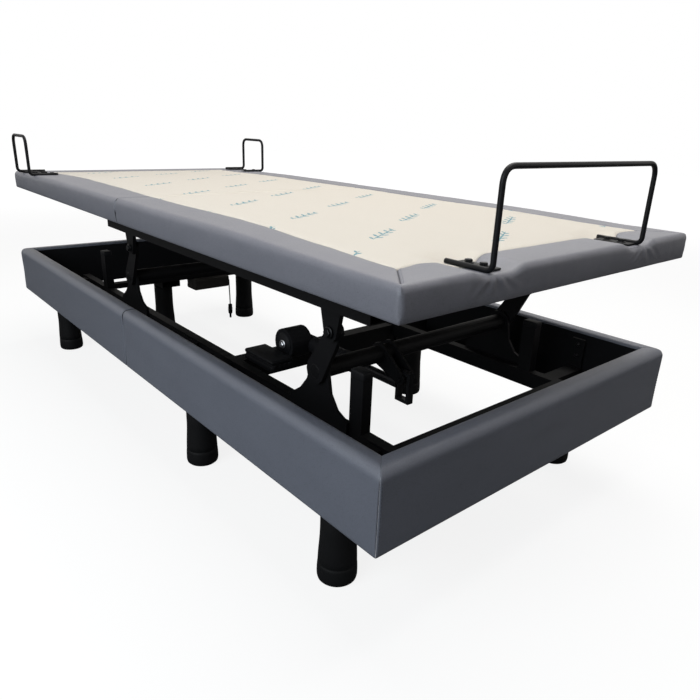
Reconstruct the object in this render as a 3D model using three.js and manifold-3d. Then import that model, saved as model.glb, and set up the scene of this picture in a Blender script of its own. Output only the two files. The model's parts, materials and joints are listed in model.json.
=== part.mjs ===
// Adjustable bed base on a powered hi-lo lift: an upholstered rail box with a steel underframe,
// a parallelogram lift, and a four-section articulated deck.
// Millimetres. +X to the right seen from the foot, +Y to the head end, +Z up.
// The origin is on the floor, under the centre of the base. The deck is raised and flat.
import * as THREE from 'three';
import { mergeVertices } from 'three/addons/utils/BufferGeometryUtils.js';
import Module from 'manifold-3d';

const wasm = await Module();
wasm.setup();

// ---------------------------------------------------------------- driving dimensions
const LENGTH = 2030;                 // long single length
const GAP = 0.3;                     // between pieces that touch
const SIDES = [-1, 1];               // left and right of the centre line

const RAIL = { width: 955, bottom: 207, top: 366, thick: 42, round: 20 };
const DECK = { width: 920, bottom: 592, top: 650, rim: 18, round: 14 };
const BOARD = { half: 440, bottom: 612, top: 627 };

const LEG = { x: 388, rows: [-818, -252, 822], height: 205, top: 36, foot: 41 };
const TUBE = { inner: 277, outer: 302, bottom: 230, top: 270, wall: 2 };
const LOWER = { foot: -884, head: 868 };
const OUTRIGGER = { bottom: 205.3, top: 265, half: 20, end: 430 };
const BRACKET = { inner: 424, half: 18, bottom: 225, top: 345 };
const HEAD_BAR = { y0: 735, y1: 765, bottom: 230, top: 250 };
const POST = { rows: [-757, 623], half: 19, top: 402 };

const LIFT = { foot: -645, head: 340, z: 370, radius: 120, lean: 30 };
const SHAFT = { radius: 20, bore: 20.7 };
const GUSSET = { inner: 302.3, outer: 309.7 };
const ARM = { inner: 310.5, outer: 320.5, half: 20 };
const LUG = { inner: 321.5, outer: 331.5, half: 20 };
const PIN = { radius: 8, bore: 8.6 };

const UPPER = { inner: 321.5, outer: 361.5, bottom: 530, top: 570, foot: -850, head: 370 };
const UPPER_CROSS = [-830, -78];      // the two seat cross tubes tie the head end
const SEAT_CROSS = [52, 218];

const HINGE = { z: 612, back: 250, thigh: 20, calf: -300, pin: 5.8, bore: 6.5, eye: 12 };
const TILT = { back: 60, thigh: 32, calf: 45.7 };
const SECTION = { inner: 325, outer: 350, bottom: 586, top: 611.7, setback: 24 };
const EAR = { inner: 338, outer: 349.5, fixedInner: 350.5, fixedOuter: 361 };

const RETAINER = { rod: 5, bend: 34, plate: 4 };

const radians = (degrees) => degrees * Math.PI / 180;
const LIFT_DY = LIFT.radius * Math.sin(radians(LIFT.lean));
const LIFT_DZ = LIFT.radius * Math.cos(radians(LIFT.lean));
const HALF = LENGTH / 2;

const HINGE_EAR = { reach: 24, drop: 15, tip: 9 };      // carried by the section that turns
const HINGE_STRAP = { reach: 28, drop: 16, tip: 9 };    // carries the next section's pin
const BOARD_END = { hinge: 20, strap: 24, rim: 19 };    // from a hinge line or an end of the deck
const SECTION_END = 960;
const WELD = 3;                      // how far welded pieces run into each other

// ---------------------------------------------------------------- materials
const finish = (color, roughness, metalness) => ({ color, roughness, metalness });
const FINISHES = {
  steel: finish(0x1b1c1e, 0.42, 0.6),
  zinc: finish(0x9c9ea0, 0.4, 0.8),
  leather: finish(0x606572, 0.55, 0),
  fabric: finish(0xece4d8, 0.9, 0),
  plastic: finish(0x161719, 0.5, 0),
  grey_plastic: finish(0x6a6660, 0.55, 0),
  plywood: finish(0xc9a877, 0.75, 0),
  cable: finish(0x111113, 0.6, 0),
};

// ---------------------------------------------------------------- solids
function solid(geometry) {
  const bare = new THREE.BufferGeometry();
  bare.setAttribute('position', geometry.getAttribute('position'));
  bare.setIndex(geometry.getIndex());
  const merged = mergeVertices(bare, 1e-4);
  return new wasm.Manifold(new wasm.Mesh({
    numProp: 3,
    vertProperties: new Float32Array(merged.getAttribute('position').array),
    triVerts: new Uint32Array(merged.getIndex().array),
  }));
}

const join = (solids) => solids.reduce((whole, piece) => whole.add(piece));
const cut = (whole, tools) => tools.reduce((rest, tool) => rest.subtract(tool), whole);

function block(xs, ys, zs) {
  const size = [xs, ys, zs].map(([a, b]) => Math.abs(b - a));
  const mid = [xs, ys, zs].map(([a, b]) => (a + b) / 2);
  return solid(new THREE.BoxGeometry(...size).translate(...mid));
}

function drum(axis, centre, radius, length, segments = 16) {
  const geometry = new THREE.CylinderGeometry(radius, radius, length, segments);
  if (axis === 'x') geometry.rotateZ(Math.PI / 2);
  if (axis === 'z') geometry.rotateX(Math.PI / 2);
  return solid(geometry.translate(...centre));
}

function extrude(shape, depth, basis, offset) {
  const geometry = new THREE.ExtrudeGeometry(shape, { depth, bevelEnabled: false, curveSegments: 3 });
  const placed = new THREE.Matrix4().makeBasis(...basis.map((v) => new THREE.Vector3(...v)));
  placed.setPosition(...offset);
  return solid(geometry.applyMatrix4(placed));
}

const outline = (points) => new THREE.Shape(points.map(([u, v]) => new THREE.Vector2(u, v)));

// A plate whose outline is drawn in Y and Z, between two X values.
function plateX(shape, x0, x1) {
  const low = Math.min(x0, x1);
  return extrude(shape, Math.abs(x1 - x0), [[0, 1, 0], [0, 0, 1], [1, 0, 0]], [low, 0, 0]);
}

// A bar whose section is drawn in X and Z, between two Y values.
function barY(shape, y0, y1) {
  return extrude(shape, y1 - y0, [[1, 0, 0], [0, 0, 1], [0, -1, 0]], [0, y1, 0]);
}

// A slab whose outline is drawn in X and Y, between two Z values.
function slabZ(shape, z0, z1) {
  return extrude(shape, z1 - z0, [[1, 0, 0], [0, 1, 0], [0, 0, 1]], [0, 0, z0]);
}

// The strip with round ends that covers the line between two points, drawn in Y and Z.
function strap([y0, z0], r0, [y1, z1], r1) {
  const angle = Math.atan2(z1 - z0, y1 - y0);
  const shape = new THREE.Shape();
  shape.absarc(y0, z0, r0, angle + Math.PI / 2, angle + 1.5 * Math.PI, false);
  shape.absarc(y1, z1, r1, angle - Math.PI / 2, angle + Math.PI / 2, false);
  shape.closePath();
  return shape;
}

// Welded box tubes: outer boxes joined, then inner boxes taken out so that every tube is open inside.
function weldTubes(tubes, extras = []) {
  const outers = tubes.map(([xs, ys, zs]) => block(xs, ys, zs));
  const inners = tubes.map(([xs, ys, zs, along]) => {
    const grow = (range, axis) => {
      const [a, b] = range[0] < range[1] ? range : [range[1], range[0]];
      return axis === along ? [a - WELD, b + WELD] : [a + TUBE.wall, b - TUBE.wall];
    };
    return block(grow(xs, 'x'), grow(ys, 'y'), grow(zs, 'z'));
  });
  return join([cut(join(outers), inners), ...extras]);
}

const base = new THREE.Group();

function place(name, shape, finishName) {
  const { numProp, vertProperties, triVerts } = shape.getMesh();
  if (numProp !== 3) throw new Error(`${name} has extra vertex data`);
  const geometry = new THREE.BufferGeometry();
  geometry.setAttribute('position', new THREE.BufferAttribute(new Float32Array(vertProperties), 3));
  geometry.setIndex(new THREE.BufferAttribute(new Uint32Array(triVerts), 1));
  const mesh = new THREE.Mesh(geometry, new THREE.MeshStandardMaterial(FINISHES[finishName]));
  mesh.name = name;
  base.add(mesh);
}

const sideName = (side) => (side < 0 ? 'left' : 'right');
const ROW_NAMES = ['foot', 'mid', 'head'];

// ---------------------------------------------------------------- underframe
function sideTube(side, y0, y1) {
  return [[side * TUBE.inner, side * TUBE.outer], [y0, y1], [TUBE.bottom, TUBE.top], 'y'];
}

function outrigger(side, row) {
  const ys = [row - OUTRIGGER.half, row + OUTRIGGER.half];
  return [[side * (TUBE.outer - 8), side * OUTRIGGER.end], ys, [OUTRIGGER.bottom, OUTRIGGER.top], 'x'];
}

function railBracket(side, row) {
  const ys = [row - BRACKET.half, row + BRACKET.half];
  return block([side * BRACKET.inner, side * OUTRIGGER.end], ys, [BRACKET.bottom, BRACKET.top]);
}

function sideParts(rows, y0, y1) {
  const tubes = SIDES.flatMap((side) => {
    return [sideTube(side, y0, y1), ...rows.map((row) => outrigger(side, row))];
  });
  const brackets = SIDES.flatMap((side) => rows.map((row) => railBracket(side, row)));
  return { tubes, brackets };
}

function lowerFrameFoot() {
  const { tubes, brackets } = sideParts([LEG.rows[0], LEG.rows[1]], LOWER.foot, -1);
  const across = [-TUBE.inner - 8, TUBE.inner + 8];
  const mid = LEG.rows[1];
  tubes.push([across, [LOWER.foot, LOWER.foot + 40], [TUBE.bottom, TUBE.top], 'x']);
  const midYs = [mid - OUTRIGGER.half, mid + OUTRIGGER.half];
  tubes.push([across, midYs, [OUTRIGGER.bottom, OUTRIGGER.top], 'x']);
  const cheeks = SIDES.map((side) => {
    const x = LIFT_DRIVE.x + side * 15;
    return block([x - 3, x + 3], [LIFT_DRIVE.tail - 16, mid - 8], [OUTRIGGER.top - 4, LIFT_DRIVE.z + 14]);
  });
  const tailPin = drum('x', [LIFT_DRIVE.x, LIFT_DRIVE.tail, LIFT_DRIVE.z], 6, 36, 12);
  return weldTubes(tubes, [...brackets, ...cheeks, tailPin]);
}

function lowerFrameHead() {
  const { tubes, brackets } = sideParts([LEG.rows[2]], 1, LOWER.head);
  const across = [-TUBE.inner - 8, TUBE.inner + 8];
  tubes.push([across, [HEAD_BAR.y0, HEAD_BAR.y1], [HEAD_BAR.bottom, HEAD_BAR.top], 'x']);
  const spine = [HEAD_BAR.y0 + 4, LEG.rows[2] + 36];
  tubes.push([[-38, 38], spine, [OUTRIGGER.bottom, HEAD_BAR.bottom + 4], 'y']);
  return weldTubes(tubes, brackets);
}

function jointPlate(side) {
  const inner = TUBE.outer + GAP;
  const plate = block([side * inner, side * (inner + 5)], [-90, 90], [TUBE.bottom + 3, TUBE.top - 3]);
  const bolts = [-68, -30, 30, 68].map((y) => drum('x', [side * (inner + 8), y, 250], 7, 7, 6));
  return join([plate, ...bolts]);
}

function leg(x, y) {
  const profile = [[0, 0], [LEG.foot - 7, 0], [LEG.foot - 1, 5], [LEG.foot, 14], [LEG.foot - 1, 36],
    [LEG.top, 110], [LEG.top, LEG.height], [0, LEG.height]];
  const points = profile.map(([r, z]) => new THREE.Vector2(r, z));
  return solid(new THREE.LatheGeometry(points, 16).rotateX(Math.PI / 2).translate(x, y, 0));
}

function restPost(side, row) {
  const ys = [row - POST.half, row + POST.half];
  return block([side * TUBE.inner, side * TUBE.outer], ys, [TUBE.top + GAP, POST.top]);
}

// ---------------------------------------------------------------- upholstered rail box
// The section of a rail: u runs inwards from the outer face, v is height.
function railSection() {
  const { bottom, top, thick, round } = RAIL;
  const shape = new THREE.Shape();
  shape.moveTo(0, bottom);
  shape.lineTo(0, top - round);
  shape.absarc(round, top - round, round, Math.PI, Math.PI / 2, true);
  shape.absarc(thick - 8, top - 8, 8, Math.PI / 2, 0, true);
  shape.lineTo(thick, bottom);
  shape.closePath();
  return shape;
}

function sideRail(side, y0, y1, footEnd) {
  const outer = RAIL.width / 2;
  const inner = outer - RAIL.thick;
  const run = y1 - y0;
  const basis = side < 0 ? [[1, 0, 0], [0, 0, 1], [0, -1, 0]] : [[-1, 0, 0], [0, 0, 1], [0, 1, 0]];
  const board = extrude(railSection(), run, basis, [side * outer, side < 0 ? y1 : y0, 0]);
  const mitre = RAIL.thick;
  const plan = footEnd
    ? [[outer, y0 + GAP], [outer, y1], [inner, y1], [inner, y0 + mitre + GAP]]
    : [[outer, y0], [outer, y1 - GAP], [inner, y1 - mitre - GAP], [inner, y0]];
  const placed = plan.map(([x, y]) => [side * x, y]);
  return board.intersect(slabZ(outline(side < 0 ? placed : placed.reverse()), 0, RAIL.top + 5));
}

function endRail(end) {
  const outer = RAIL.width / 2;
  const inner = outer - RAIL.thick;
  const edge = HALF - RAIL.thick;
  const basis = end < 0 ? [[0, 1, 0], [0, 0, 1], [1, 0, 0]] : [[0, -1, 0], [0, 0, 1], [-1, 0, 0]];
  const board = extrude(railSection(), RAIL.width, basis, [end * outer, end * HALF, 0]);
  const plan = [[-outer, end * HALF], [outer, end * HALF], [inner, end * edge], [-inner, end * edge]];
  return board.intersect(slabZ(outline(end < 0 ? plan : plan.reverse()), 0, RAIL.top + 5));
}

// ---------------------------------------------------------------- lift
const CRANK = { radius: 80, pin: 6, plate: 6, offset: 13 };
const LIFT_DRIVE = { x: -120, z: 310, tail: -282, front: -545, motorY: -345 };

function liftGusset(side, y) {
  const shape = new THREE.Shape();
  const foot = TUBE.bottom + 6;
  shape.moveTo(y - 95, foot);
  shape.lineTo(y - 95, TUBE.top + 14);
  shape.quadraticCurveTo(y - 34, TUBE.top + 26, y - 31, LIFT.z);
  shape.absarc(y, LIFT.z, 31, Math.PI, 0, true);
  shape.quadraticCurveTo(y + 36, TUBE.top + 50, y + 101, TUBE.top + 14);
  shape.lineTo(y + 101, foot);
  shape.closePath();
  const plate = plateX(shape, side * GUSSET.inner, side * GUSSET.outer);
  const bore = drum('x', [side * 306, y, LIFT.z], SHAFT.bore, 30, 20);
  return plate.subtract(bore);
}

function liftShaft(y, withCrank) {
  const reach = GUSSET.outer + 0.9;
  const bar = drum('x', [0, y, LIFT.z], SHAFT.radius, 2 * reach, 20);
  const top = [y - LIFT_DY, LIFT.z + LIFT_DZ];
  const arms = SIDES.map((side) => {
    const arm = plateX(strap([y, LIFT.z], 28, top, ARM.half), side * ARM.inner, side * ARM.outer);
    return arm.subtract(drum('x', [side * 315, ...top], PIN.bore, 30));
  });
  if (!withCrank) return join([bar, ...arms]);
  const pinY = y - CRANK.radius * Math.sin(radians(60));
  const pinZ = LIFT.z - CRANK.radius * Math.cos(radians(60));
  const cheeks = SIDES.map((side) => {
    const x = LIFT_DRIVE.x + side * CRANK.offset;
    return plateX(strap([y, LIFT.z], 27, [pinY, pinZ], 13), x, x + side * CRANK.plate);
  });
  const pin = drum('x', [LIFT_DRIVE.x, pinY, pinZ], CRANK.pin, 2 * (CRANK.offset + CRANK.plate) + 8);
  return join([bar, ...arms, ...cheeks, pin]);
}

// ---------------------------------------------------------------- linear drives
// The housing of a linear drive: a tube with a bore for the rod, a motor beside it and a tail lug.
function driveHousing({ x, z, front, tail, motorAxis, motor, reach }) {
  const way = Math.sign(tail - front);
  const length = Math.abs(tail - front) - 24;
  const tube = drum('y', [x, front + way * length / 2, z], 22, length);
  const lug = join([
    block([x - 8, x + 8], [tail - way * 34, tail], [z - 10, z + 10]),
    drum('x', [x, tail, z], 10, 16, 12),
  ]).subtract(drum('x', [x, tail, z], 6.4, 30, 12));
  const bore = drum('y', [x, front + way * (reach / 2 - 2), z], 12.6, reach + 4);
  return join([tube, lug, drum(motorAxis, ...motor)]).subtract(bore);
}

// The rod of a linear drive, with a slotted yoke that carries a crank pin.
function driveRod({ x, z, yoke, tail, slot, height, drop }) {
  const way = Math.sign(tail - yoke);
  const halfWide = slot / 2 + 8;
  const frame = block([x - 8, x + 8], [yoke - halfWide, yoke + halfWide], [z - drop, z - drop + height]);
  const slotZs = [z - drop + 8, z - drop + height - 8];
  const window = block([x - 20, x + 20], [yoke - slot / 2, yoke + slot / 2], slotZs);
  const start = yoke + way * (halfWide - 3);
  const rod = drum('y', [x, (start + tail) / 2, z], 12, Math.abs(tail - start));
  return join([frame, rod]).subtract(window);
}

const BACK_DRIVE = { x: 70, z: 510, tail: -78, front: 158, arm: 110 };
const LEG_DRIVE = { x: -70, z: 504, tail: 218, front: 84, arm: 110 };

// ---------------------------------------------------------------- raised frame
function upperFrame() {
  const tubes = SIDES.map((side) => [[side * UPPER.inner, side * UPPER.outer],
    [UPPER.foot, UPPER.head], [UPPER.bottom, UPPER.top], 'y']);
  const across = [-UPPER.inner - 6, UPPER.inner + 6];
  UPPER_CROSS.forEach((y) => tubes.push([across, [y - 20, y + 20], [UPPER.bottom, UPPER.top], 'x']));
  const seat = SEAT_CROSS.map((y) => {
    tubes.push([[-345, 345], [y - 12, y + 12], [UPPER.top, SECTION.top], 'x']);
    return block([-345, 345], [y - 12, y + 12], [UPPER.top - WELD, UPPER.top + WELD]);
  });
  const lugs = SIDES.flatMap((side) => [LIFT.foot, LIFT.head].map((y) => {
    const eye = [y - LIFT_DY, LIFT.z + LIFT_DZ];
    const web = strap([eye[0], UPPER.bottom + 4], 34, eye, LUG.half);
    const plate = plateX(web, side * LUG.inner, side * LUG.outer);
    const below = block([-400, 400], [eye[0] - 60, eye[0] + 60], [400, UPPER.bottom + 2]);
    const pinX = side * (ARM.inner + LUG.outer + 4) / 2;
    const pin = drum('x', [pinX, ...eye], PIN.radius, LUG.outer - ARM.inner + 3);
    return plate.intersect(below).add(pin);
  }));
  const ears = SIDES.flatMap((side) => [HINGE.back, HINGE.thigh].map((y) => {
    const xs = [side * EAR.fixedInner, side * EAR.fixedOuter];
    const plate = block(xs, [y - HINGE.eye, y + HINGE.eye], [UPPER.top - 4, HINGE.z]);
    const eye = drum('x', [side * (EAR.fixedInner + EAR.fixedOuter) / 2, y, HINGE.z], HINGE.eye, 10.5);
    const pin = drum('x', [side * 348, y, HINGE.z], HINGE.pin, 24);
    return [plate, eye, pin];
  }).flat());
  const hangers = [[BACK_DRIVE, UPPER.bottom], [LEG_DRIVE, UPPER.top]].flatMap(([drive, from]) => {
    const cheeks = SIDES.map((side) => {
      const x = drive.x + side * 12;
      return block([x - 3, x + 3], [drive.tail - 11, drive.tail + 11], [drive.z - 12, from + 4]);
    });
    return [...cheeks, drum('x', [drive.x, drive.tail, drive.z], 6, 32)];
  });
  return weldTubes(tubes, [...seat, ...lugs, ...ears, ...hangers]);
}

// ---------------------------------------------------------------- deck sections
// Upholstery of one deck section between two hinge lines or ends. Each end gives its line and the
// slope of its face above and below the hinge, so that neighbours clear each other when they fold.
function padEnds(y, inward, above, below) {
  const top = y + inward * (1 + (DECK.top - HINGE.z) * Math.tan(radians(above)));
  const bottom = y + inward * (1 + (HINGE.z - DECK.bottom) * Math.tan(radians(below)));
  return [[bottom, DECK.bottom], [y + inward, HINGE.z], [top, DECK.top]];
}

function padEnd(y, inward) {
  const r = DECK.round;
  const shoulder = [y + inward * r * 0.3, DECK.top - r * 0.3];
  return [[y, DECK.bottom], [y, DECK.top - r], shoulder, [y + inward * r, DECK.top]];
}

function pad(lowFace, highFace, endRim) {
  const half = DECK.width / 2;
  const r = DECK.round;
  const shape = new THREE.Shape();
  shape.moveTo(-half, DECK.bottom);
  shape.lineTo(-half, DECK.top - r);
  shape.absarc(-half + r, DECK.top - r, r, Math.PI, Math.PI / 2, true);
  shape.absarc(half - r, DECK.top - r, r, Math.PI / 2, 0, true);
  shape.lineTo(half, DECK.bottom);
  shape.lineTo(half - DECK.rim, DECK.bottom);
  shape.lineTo(half - DECK.rim, BOARD.top + 0.5);
  shape.lineTo(-half + DECK.rim, BOARD.top + 0.5);
  shape.lineTo(-half + DECK.rim, DECK.bottom);
  shape.closePath();
  let body = barY(shape, -HALF, HALF);
  if (endRim) {
    const ys = endRim < 0 ? [-HALF, -HALF + DECK.rim] : [HALF - DECK.rim, HALF];
    body = body.add(block([-half + 2, half - 2], ys, [DECK.bottom, BOARD.top + 4]));
  }
  const profile = outline([...lowFace, ...highFace.slice().reverse()].reverse());
  return body.intersect(plateX(profile, -half - 1, half + 1));
}

function deckBoard(y0, y1) {
  return block([-BOARD.half, BOARD.half], [y0, y1], [BOARD.bottom, BOARD.top]);
}

// A section's steel frame: two side tubes, cross tubes, and ears at its hinge lines.
function sectionFrame({ y0, y1, crosses, ears = [], pins = [], crank = null }) {
  const zs = [SECTION.bottom, SECTION.top];
  const across = [-SECTION.inner - 5, SECTION.inner + 5];
  const tubes = SIDES.map((side) => [[side * SECTION.inner, side * SECTION.outer], [y0, y1], zs, 'y']);
  crosses.forEach((y) => tubes.push([across, [y - 12, y + 12], zs, 'x']));
  const extras = [];
  SIDES.forEach((side) => {
    ears.forEach(([y, towards]) => {
      const end = [y + towards * HINGE_EAR.reach, HINGE.z - HINGE_EAR.drop];
      const plate = plateX(strap([y, HINGE.z], HINGE.eye, end, HINGE_EAR.tip),
        side * EAR.inner, side * EAR.outer);
      extras.push(plate.subtract(drum('x', [side * 344, y, HINGE.z], HINGE.bore, 40)));
    });
    pins.forEach(([y, towards]) => {
      const end = [y + towards * HINGE_STRAP.reach, HINGE.z - HINGE_STRAP.drop];
      const plate = plateX(strap([y, HINGE.z], HINGE.eye, end, HINGE_STRAP.tip),
        side * (SECTION.outer - 0.5), side * EAR.fixedOuter);
      const clearance = block([side * 330, side * EAR.fixedInner], [y - 24, y + 24], [590, 640]);
      extras.push(plate.subtract(clearance), drum('x', [side * 348, y, HINGE.z], HINGE.pin, 24));
    });
  });
  if (crank) {
    const { x, hingeY, lean, root } = crank;
    const swing = radians(lean);
    const pin = [hingeY + crank.arm * Math.sin(swing), HINGE.z - crank.arm * Math.cos(swing)];
    SIDES.forEach((side) => {
      const inner = x + side * 9.5;
      extras.push(plateX(strap([root, 599], 12, pin, 11), inner, inner + side * 6));
    });
    extras.push(drum('x', [x, ...pin], 5, 36));
  }
  return weldTubes(tubes, extras);
}

// ---------------------------------------------------------------- mattress retainers
function bentRod(points, steps) {
  const path = new THREE.CurvePath();
  points.forEach((point, i) => {
    if (i === 0) return;
    const before = points[i - 1];
    const last = i === points.length - 1;
    const from = i === 1 ? before : before.clone().lerp(point, trim(points, i - 1, i));
    const to = last ? point : point.clone().lerp(before, trim(points, i, i - 1));
    path.add(new THREE.LineCurve3(from, to));
    if (!last) {
      const next = point.clone().lerp(points[i + 1], trim(points, i, i + 1));
      path.add(new THREE.QuadraticBezierCurve3(to, point, next));
    }
  });
  const section = new THREE.Shape().absarc(0, 0, RETAINER.rod, 0, 2 * Math.PI, false);
  const options = { steps, bevelEnabled: false, extrudePath: path, curveSegments: 4 };
  return solid(new THREE.ExtrudeGeometry(section, options));
}

// How far along an edge a bend reaches, as a share of the edge.
function trim(points, corner, other) {
  return Math.min(0.45, RETAINER.bend / points[corner].distanceTo(points[other]));
}

const FOOT_BAR = { half: 250, y: -1007, top: 803, plateY: [-1003, -920], width: 38, boltInset: 16 };
const SIDE_BAR = { x: 455, y: 852, half: 78, top: 779, plateX: [450, 372], width: 26 };

function retainerPlate(xs, ys) {
  return block(xs, ys, [DECK.top + GAP, DECK.top + GAP + RETAINER.plate]);
}

function bolt(x, y) {
  return drum('z', [x, y, DECK.top + RETAINER.plate + 3.5], 7, 7, 6);
}

function footRetainer() {
  const rodZ = DECK.top + GAP + RETAINER.plate + RETAINER.rod - 1;
  const v = (x, y, z) => new THREE.Vector3(x, y, z);
  const h = FOOT_BAR.half;
  const inY = FOOT_BAR.plateY[1] + 22;
  const rod = bentRod([v(-h, inY, rodZ), v(-h, FOOT_BAR.y, rodZ), v(-h, FOOT_BAR.y, FOOT_BAR.top),
    v(h, FOOT_BAR.y, FOOT_BAR.top), v(h, FOOT_BAR.y, rodZ), v(h, inY, rodZ)], 46);
  const plates = SIDES.flatMap((side) => {
    const x = side * (h - FOOT_BAR.boltInset);
    const plate = retainerPlate([side * (h + 6), side * (h + 6 - FOOT_BAR.width)], FOOT_BAR.plateY);
    return [plate, bolt(x, FOOT_BAR.plateY[0] + 26), bolt(x, FOOT_BAR.plateY[1] - 26)];
  });
  return join([rod, ...plates]);
}

function sideRetainer(side) {
  const rodZ = DECK.top + GAP + RETAINER.plate + RETAINER.rod - 1;
  const v = (along, inward, z) => new THREE.Vector3(side * inward, along, z);
  const { x, y, half, top } = SIDE_BAR;
  const inX = SIDE_BAR.plateX[1] + 20;
  const rod = bentRod([v(y - half, inX, rodZ), v(y - half, x, rodZ), v(y - half, x, top),
    v(y + half, x, top), v(y + half, x, rodZ), v(y + half, inX, rodZ)], 32);
  const plates = SIDES.flatMap((end) => {
    const at = y + end * (half - 8);
    const plate = retainerPlate(SIDE_BAR.plateX.map((px) => side * px), [at - 13, at + 13]);
    return [plate, ...[18, 60].map((inward) => bolt(side * (SIDE_BAR.plateX[0] - inward), at - end * 4))];
  });
  return join([rod, ...plates]);
}

// ---------------------------------------------------------------- electrics
const SUPPLY = { xs: [90, 254], ys: [712, 788], zs: [182, 229.7] };
const LEAD = { radius: 2.5, end: 90 };
const LEAD_ROUTE = [
  [254.4, 750, 206], [258, 750, 206], [261.5, 750, 205.6], [264.8, 750, 204.2], [267.6, 750, 201.8],
  [269.6, 750, 198.6], [270.8, 750, 195], [271.4, 750, 190], [271.6, 750, 180], [271.8, 750, 168],
  [272.2, 750, 155], [272.8, 750, 142], [273.4, 750, 129], [273.8, 750, 116], [274, 750, 103],
  [274, 750, 90.4],
];

function roundedBox(xs, ys, zs, r) {
  const shape = new THREE.Shape();
  const [x0, x1] = xs;
  const [y0, y1] = ys;
  shape.moveTo(x0 + r, y0);
  shape.lineTo(x1 - r, y0);
  shape.absarc(x1 - r, y0 + r, r, -Math.PI / 2, 0, false);
  shape.absarc(x1 - r, y1 - r, r, 0, Math.PI / 2, false);
  shape.absarc(x0 + r, y1 - r, r, Math.PI / 2, Math.PI, false);
  shape.absarc(x0 + r, y0 + r, r, Math.PI, 1.5 * Math.PI, false);
  shape.closePath();
  return slabZ(shape, ...zs);
}

function powerLead() {
  const path = new THREE.CatmullRomCurve3(LEAD_ROUTE.map((p) => new THREE.Vector3(...p)));
  const section = new THREE.Shape().absarc(0, 0, LEAD.radius, 0, 2 * Math.PI, false);
  const options = { steps: 28, bevelEnabled: false, extrudePath: path, curveSegments: 4 };
  return solid(new THREE.ExtrudeGeometry(section, options));
}

function leadConnector() {
  const [x, y] = LEAD_ROUTE.at(-1);
  const body = roundedBox([x - 8, x + 8], [y - 6, y + 6], [46, LEAD.end], 4);
  return join([body, drum('z', [x, y, 38], 4.5, 22, 16)]);
}

// ---------------------------------------------------------------- assembly
place('lower_frame_foot', lowerFrameFoot(), 'steel');
place('lower_frame_head', lowerFrameHead(), 'steel');
LEG.rows.forEach((y, i) => SIDES.forEach((side) => {
  place(`leg_${ROW_NAMES[i]}_${sideName(side)}`, leg(side * LEG.x, y), 'plastic');
}));
place('leg_head_centre', leg(0, LEG.rows[2]), 'plastic');
SIDES.forEach((side) => {
  const name = sideName(side);
  place(`frame_joint_plate_${name}`, jointPlate(side), 'steel');
  place(`rest_post_foot_${name}`, restPost(side, POST.rows[0]), 'steel');
  place(`rest_post_head_${name}`, restPost(side, POST.rows[1]), 'steel');
  place(`side_rail_foot_${name}`, sideRail(side, -HALF, -GAP / 2, true), 'leather');
  place(`side_rail_head_${name}`, sideRail(side, GAP / 2, HALF, false), 'leather');
  place(`lift_gusset_foot_${name}`, liftGusset(side, LIFT.foot), 'steel');
  place(`lift_gusset_head_${name}`, liftGusset(side, LIFT.head), 'steel');
});
place('end_rail_foot', endRail(-1), 'leather');
place('end_rail_head', endRail(1), 'leather');

place('lift_shaft_foot', liftShaft(LIFT.foot, true), 'steel');
place('lift_shaft_head', liftShaft(LIFT.head, false), 'steel');
const liftThrow = CRANK.radius * Math.sin(radians(60));
const liftMotor = [[LIFT_DRIVE.x - 40, LIFT_DRIVE.motorY, LIFT_DRIVE.z + 6], 40, 62, 20];
const liftHousing = { ...LIFT_DRIVE, motorAxis: 'x', motor: liftMotor, reach: 205 };
place('lift_drive_housing', driveHousing(liftHousing), 'plastic');
const liftRod = { yoke: LIFT.foot - liftThrow, tail: -505, slot: 25, height: 73, drop: 37 };
place('lift_drive_rod', driveRod({ x: LIFT_DRIVE.x, z: LIFT_DRIVE.z, ...liftRod }), 'zinc');

place('upper_frame', upperFrame(), 'steel');
const backThrow = BACK_DRIVE.arm * Math.sin(radians(TILT.back / 2));
const backMotor = [[BACK_DRIVE.x + 44, 8, BACK_DRIVE.z], 27, 120, 16];
const backHousing = { ...BACK_DRIVE, motorAxis: 'y', motor: backMotor, reach: 160 };
place('back_drive_housing', driveHousing(backHousing), 'plastic');
const backRod = { yoke: HINGE.back - backThrow, tail: 118, slot: 14, height: 46, drop: 24 };
place('back_drive_rod', driveRod({ x: BACK_DRIVE.x, z: BACK_DRIVE.z, ...backRod }), 'zinc');
const legThrow = LEG_DRIVE.arm * Math.sin(radians(TILT.thigh / 2));
const legMotor = [[LEG_DRIVE.x - 44, 150, LEG_DRIVE.z], 27, 96, 16];
const legHousing = { ...LEG_DRIVE, motorAxis: 'y', motor: legMotor, reach: 100 };
place('leg_drive_housing', driveHousing(legHousing), 'plastic');
const legRod = { yoke: HINGE.thigh + legThrow, tail: 118, slot: 14, height: 38, drop: 19 };
place('leg_drive_rod', driveRod({ x: LEG_DRIVE.x, z: LEG_DRIVE.z, ...legRod }), 'zinc');

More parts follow.
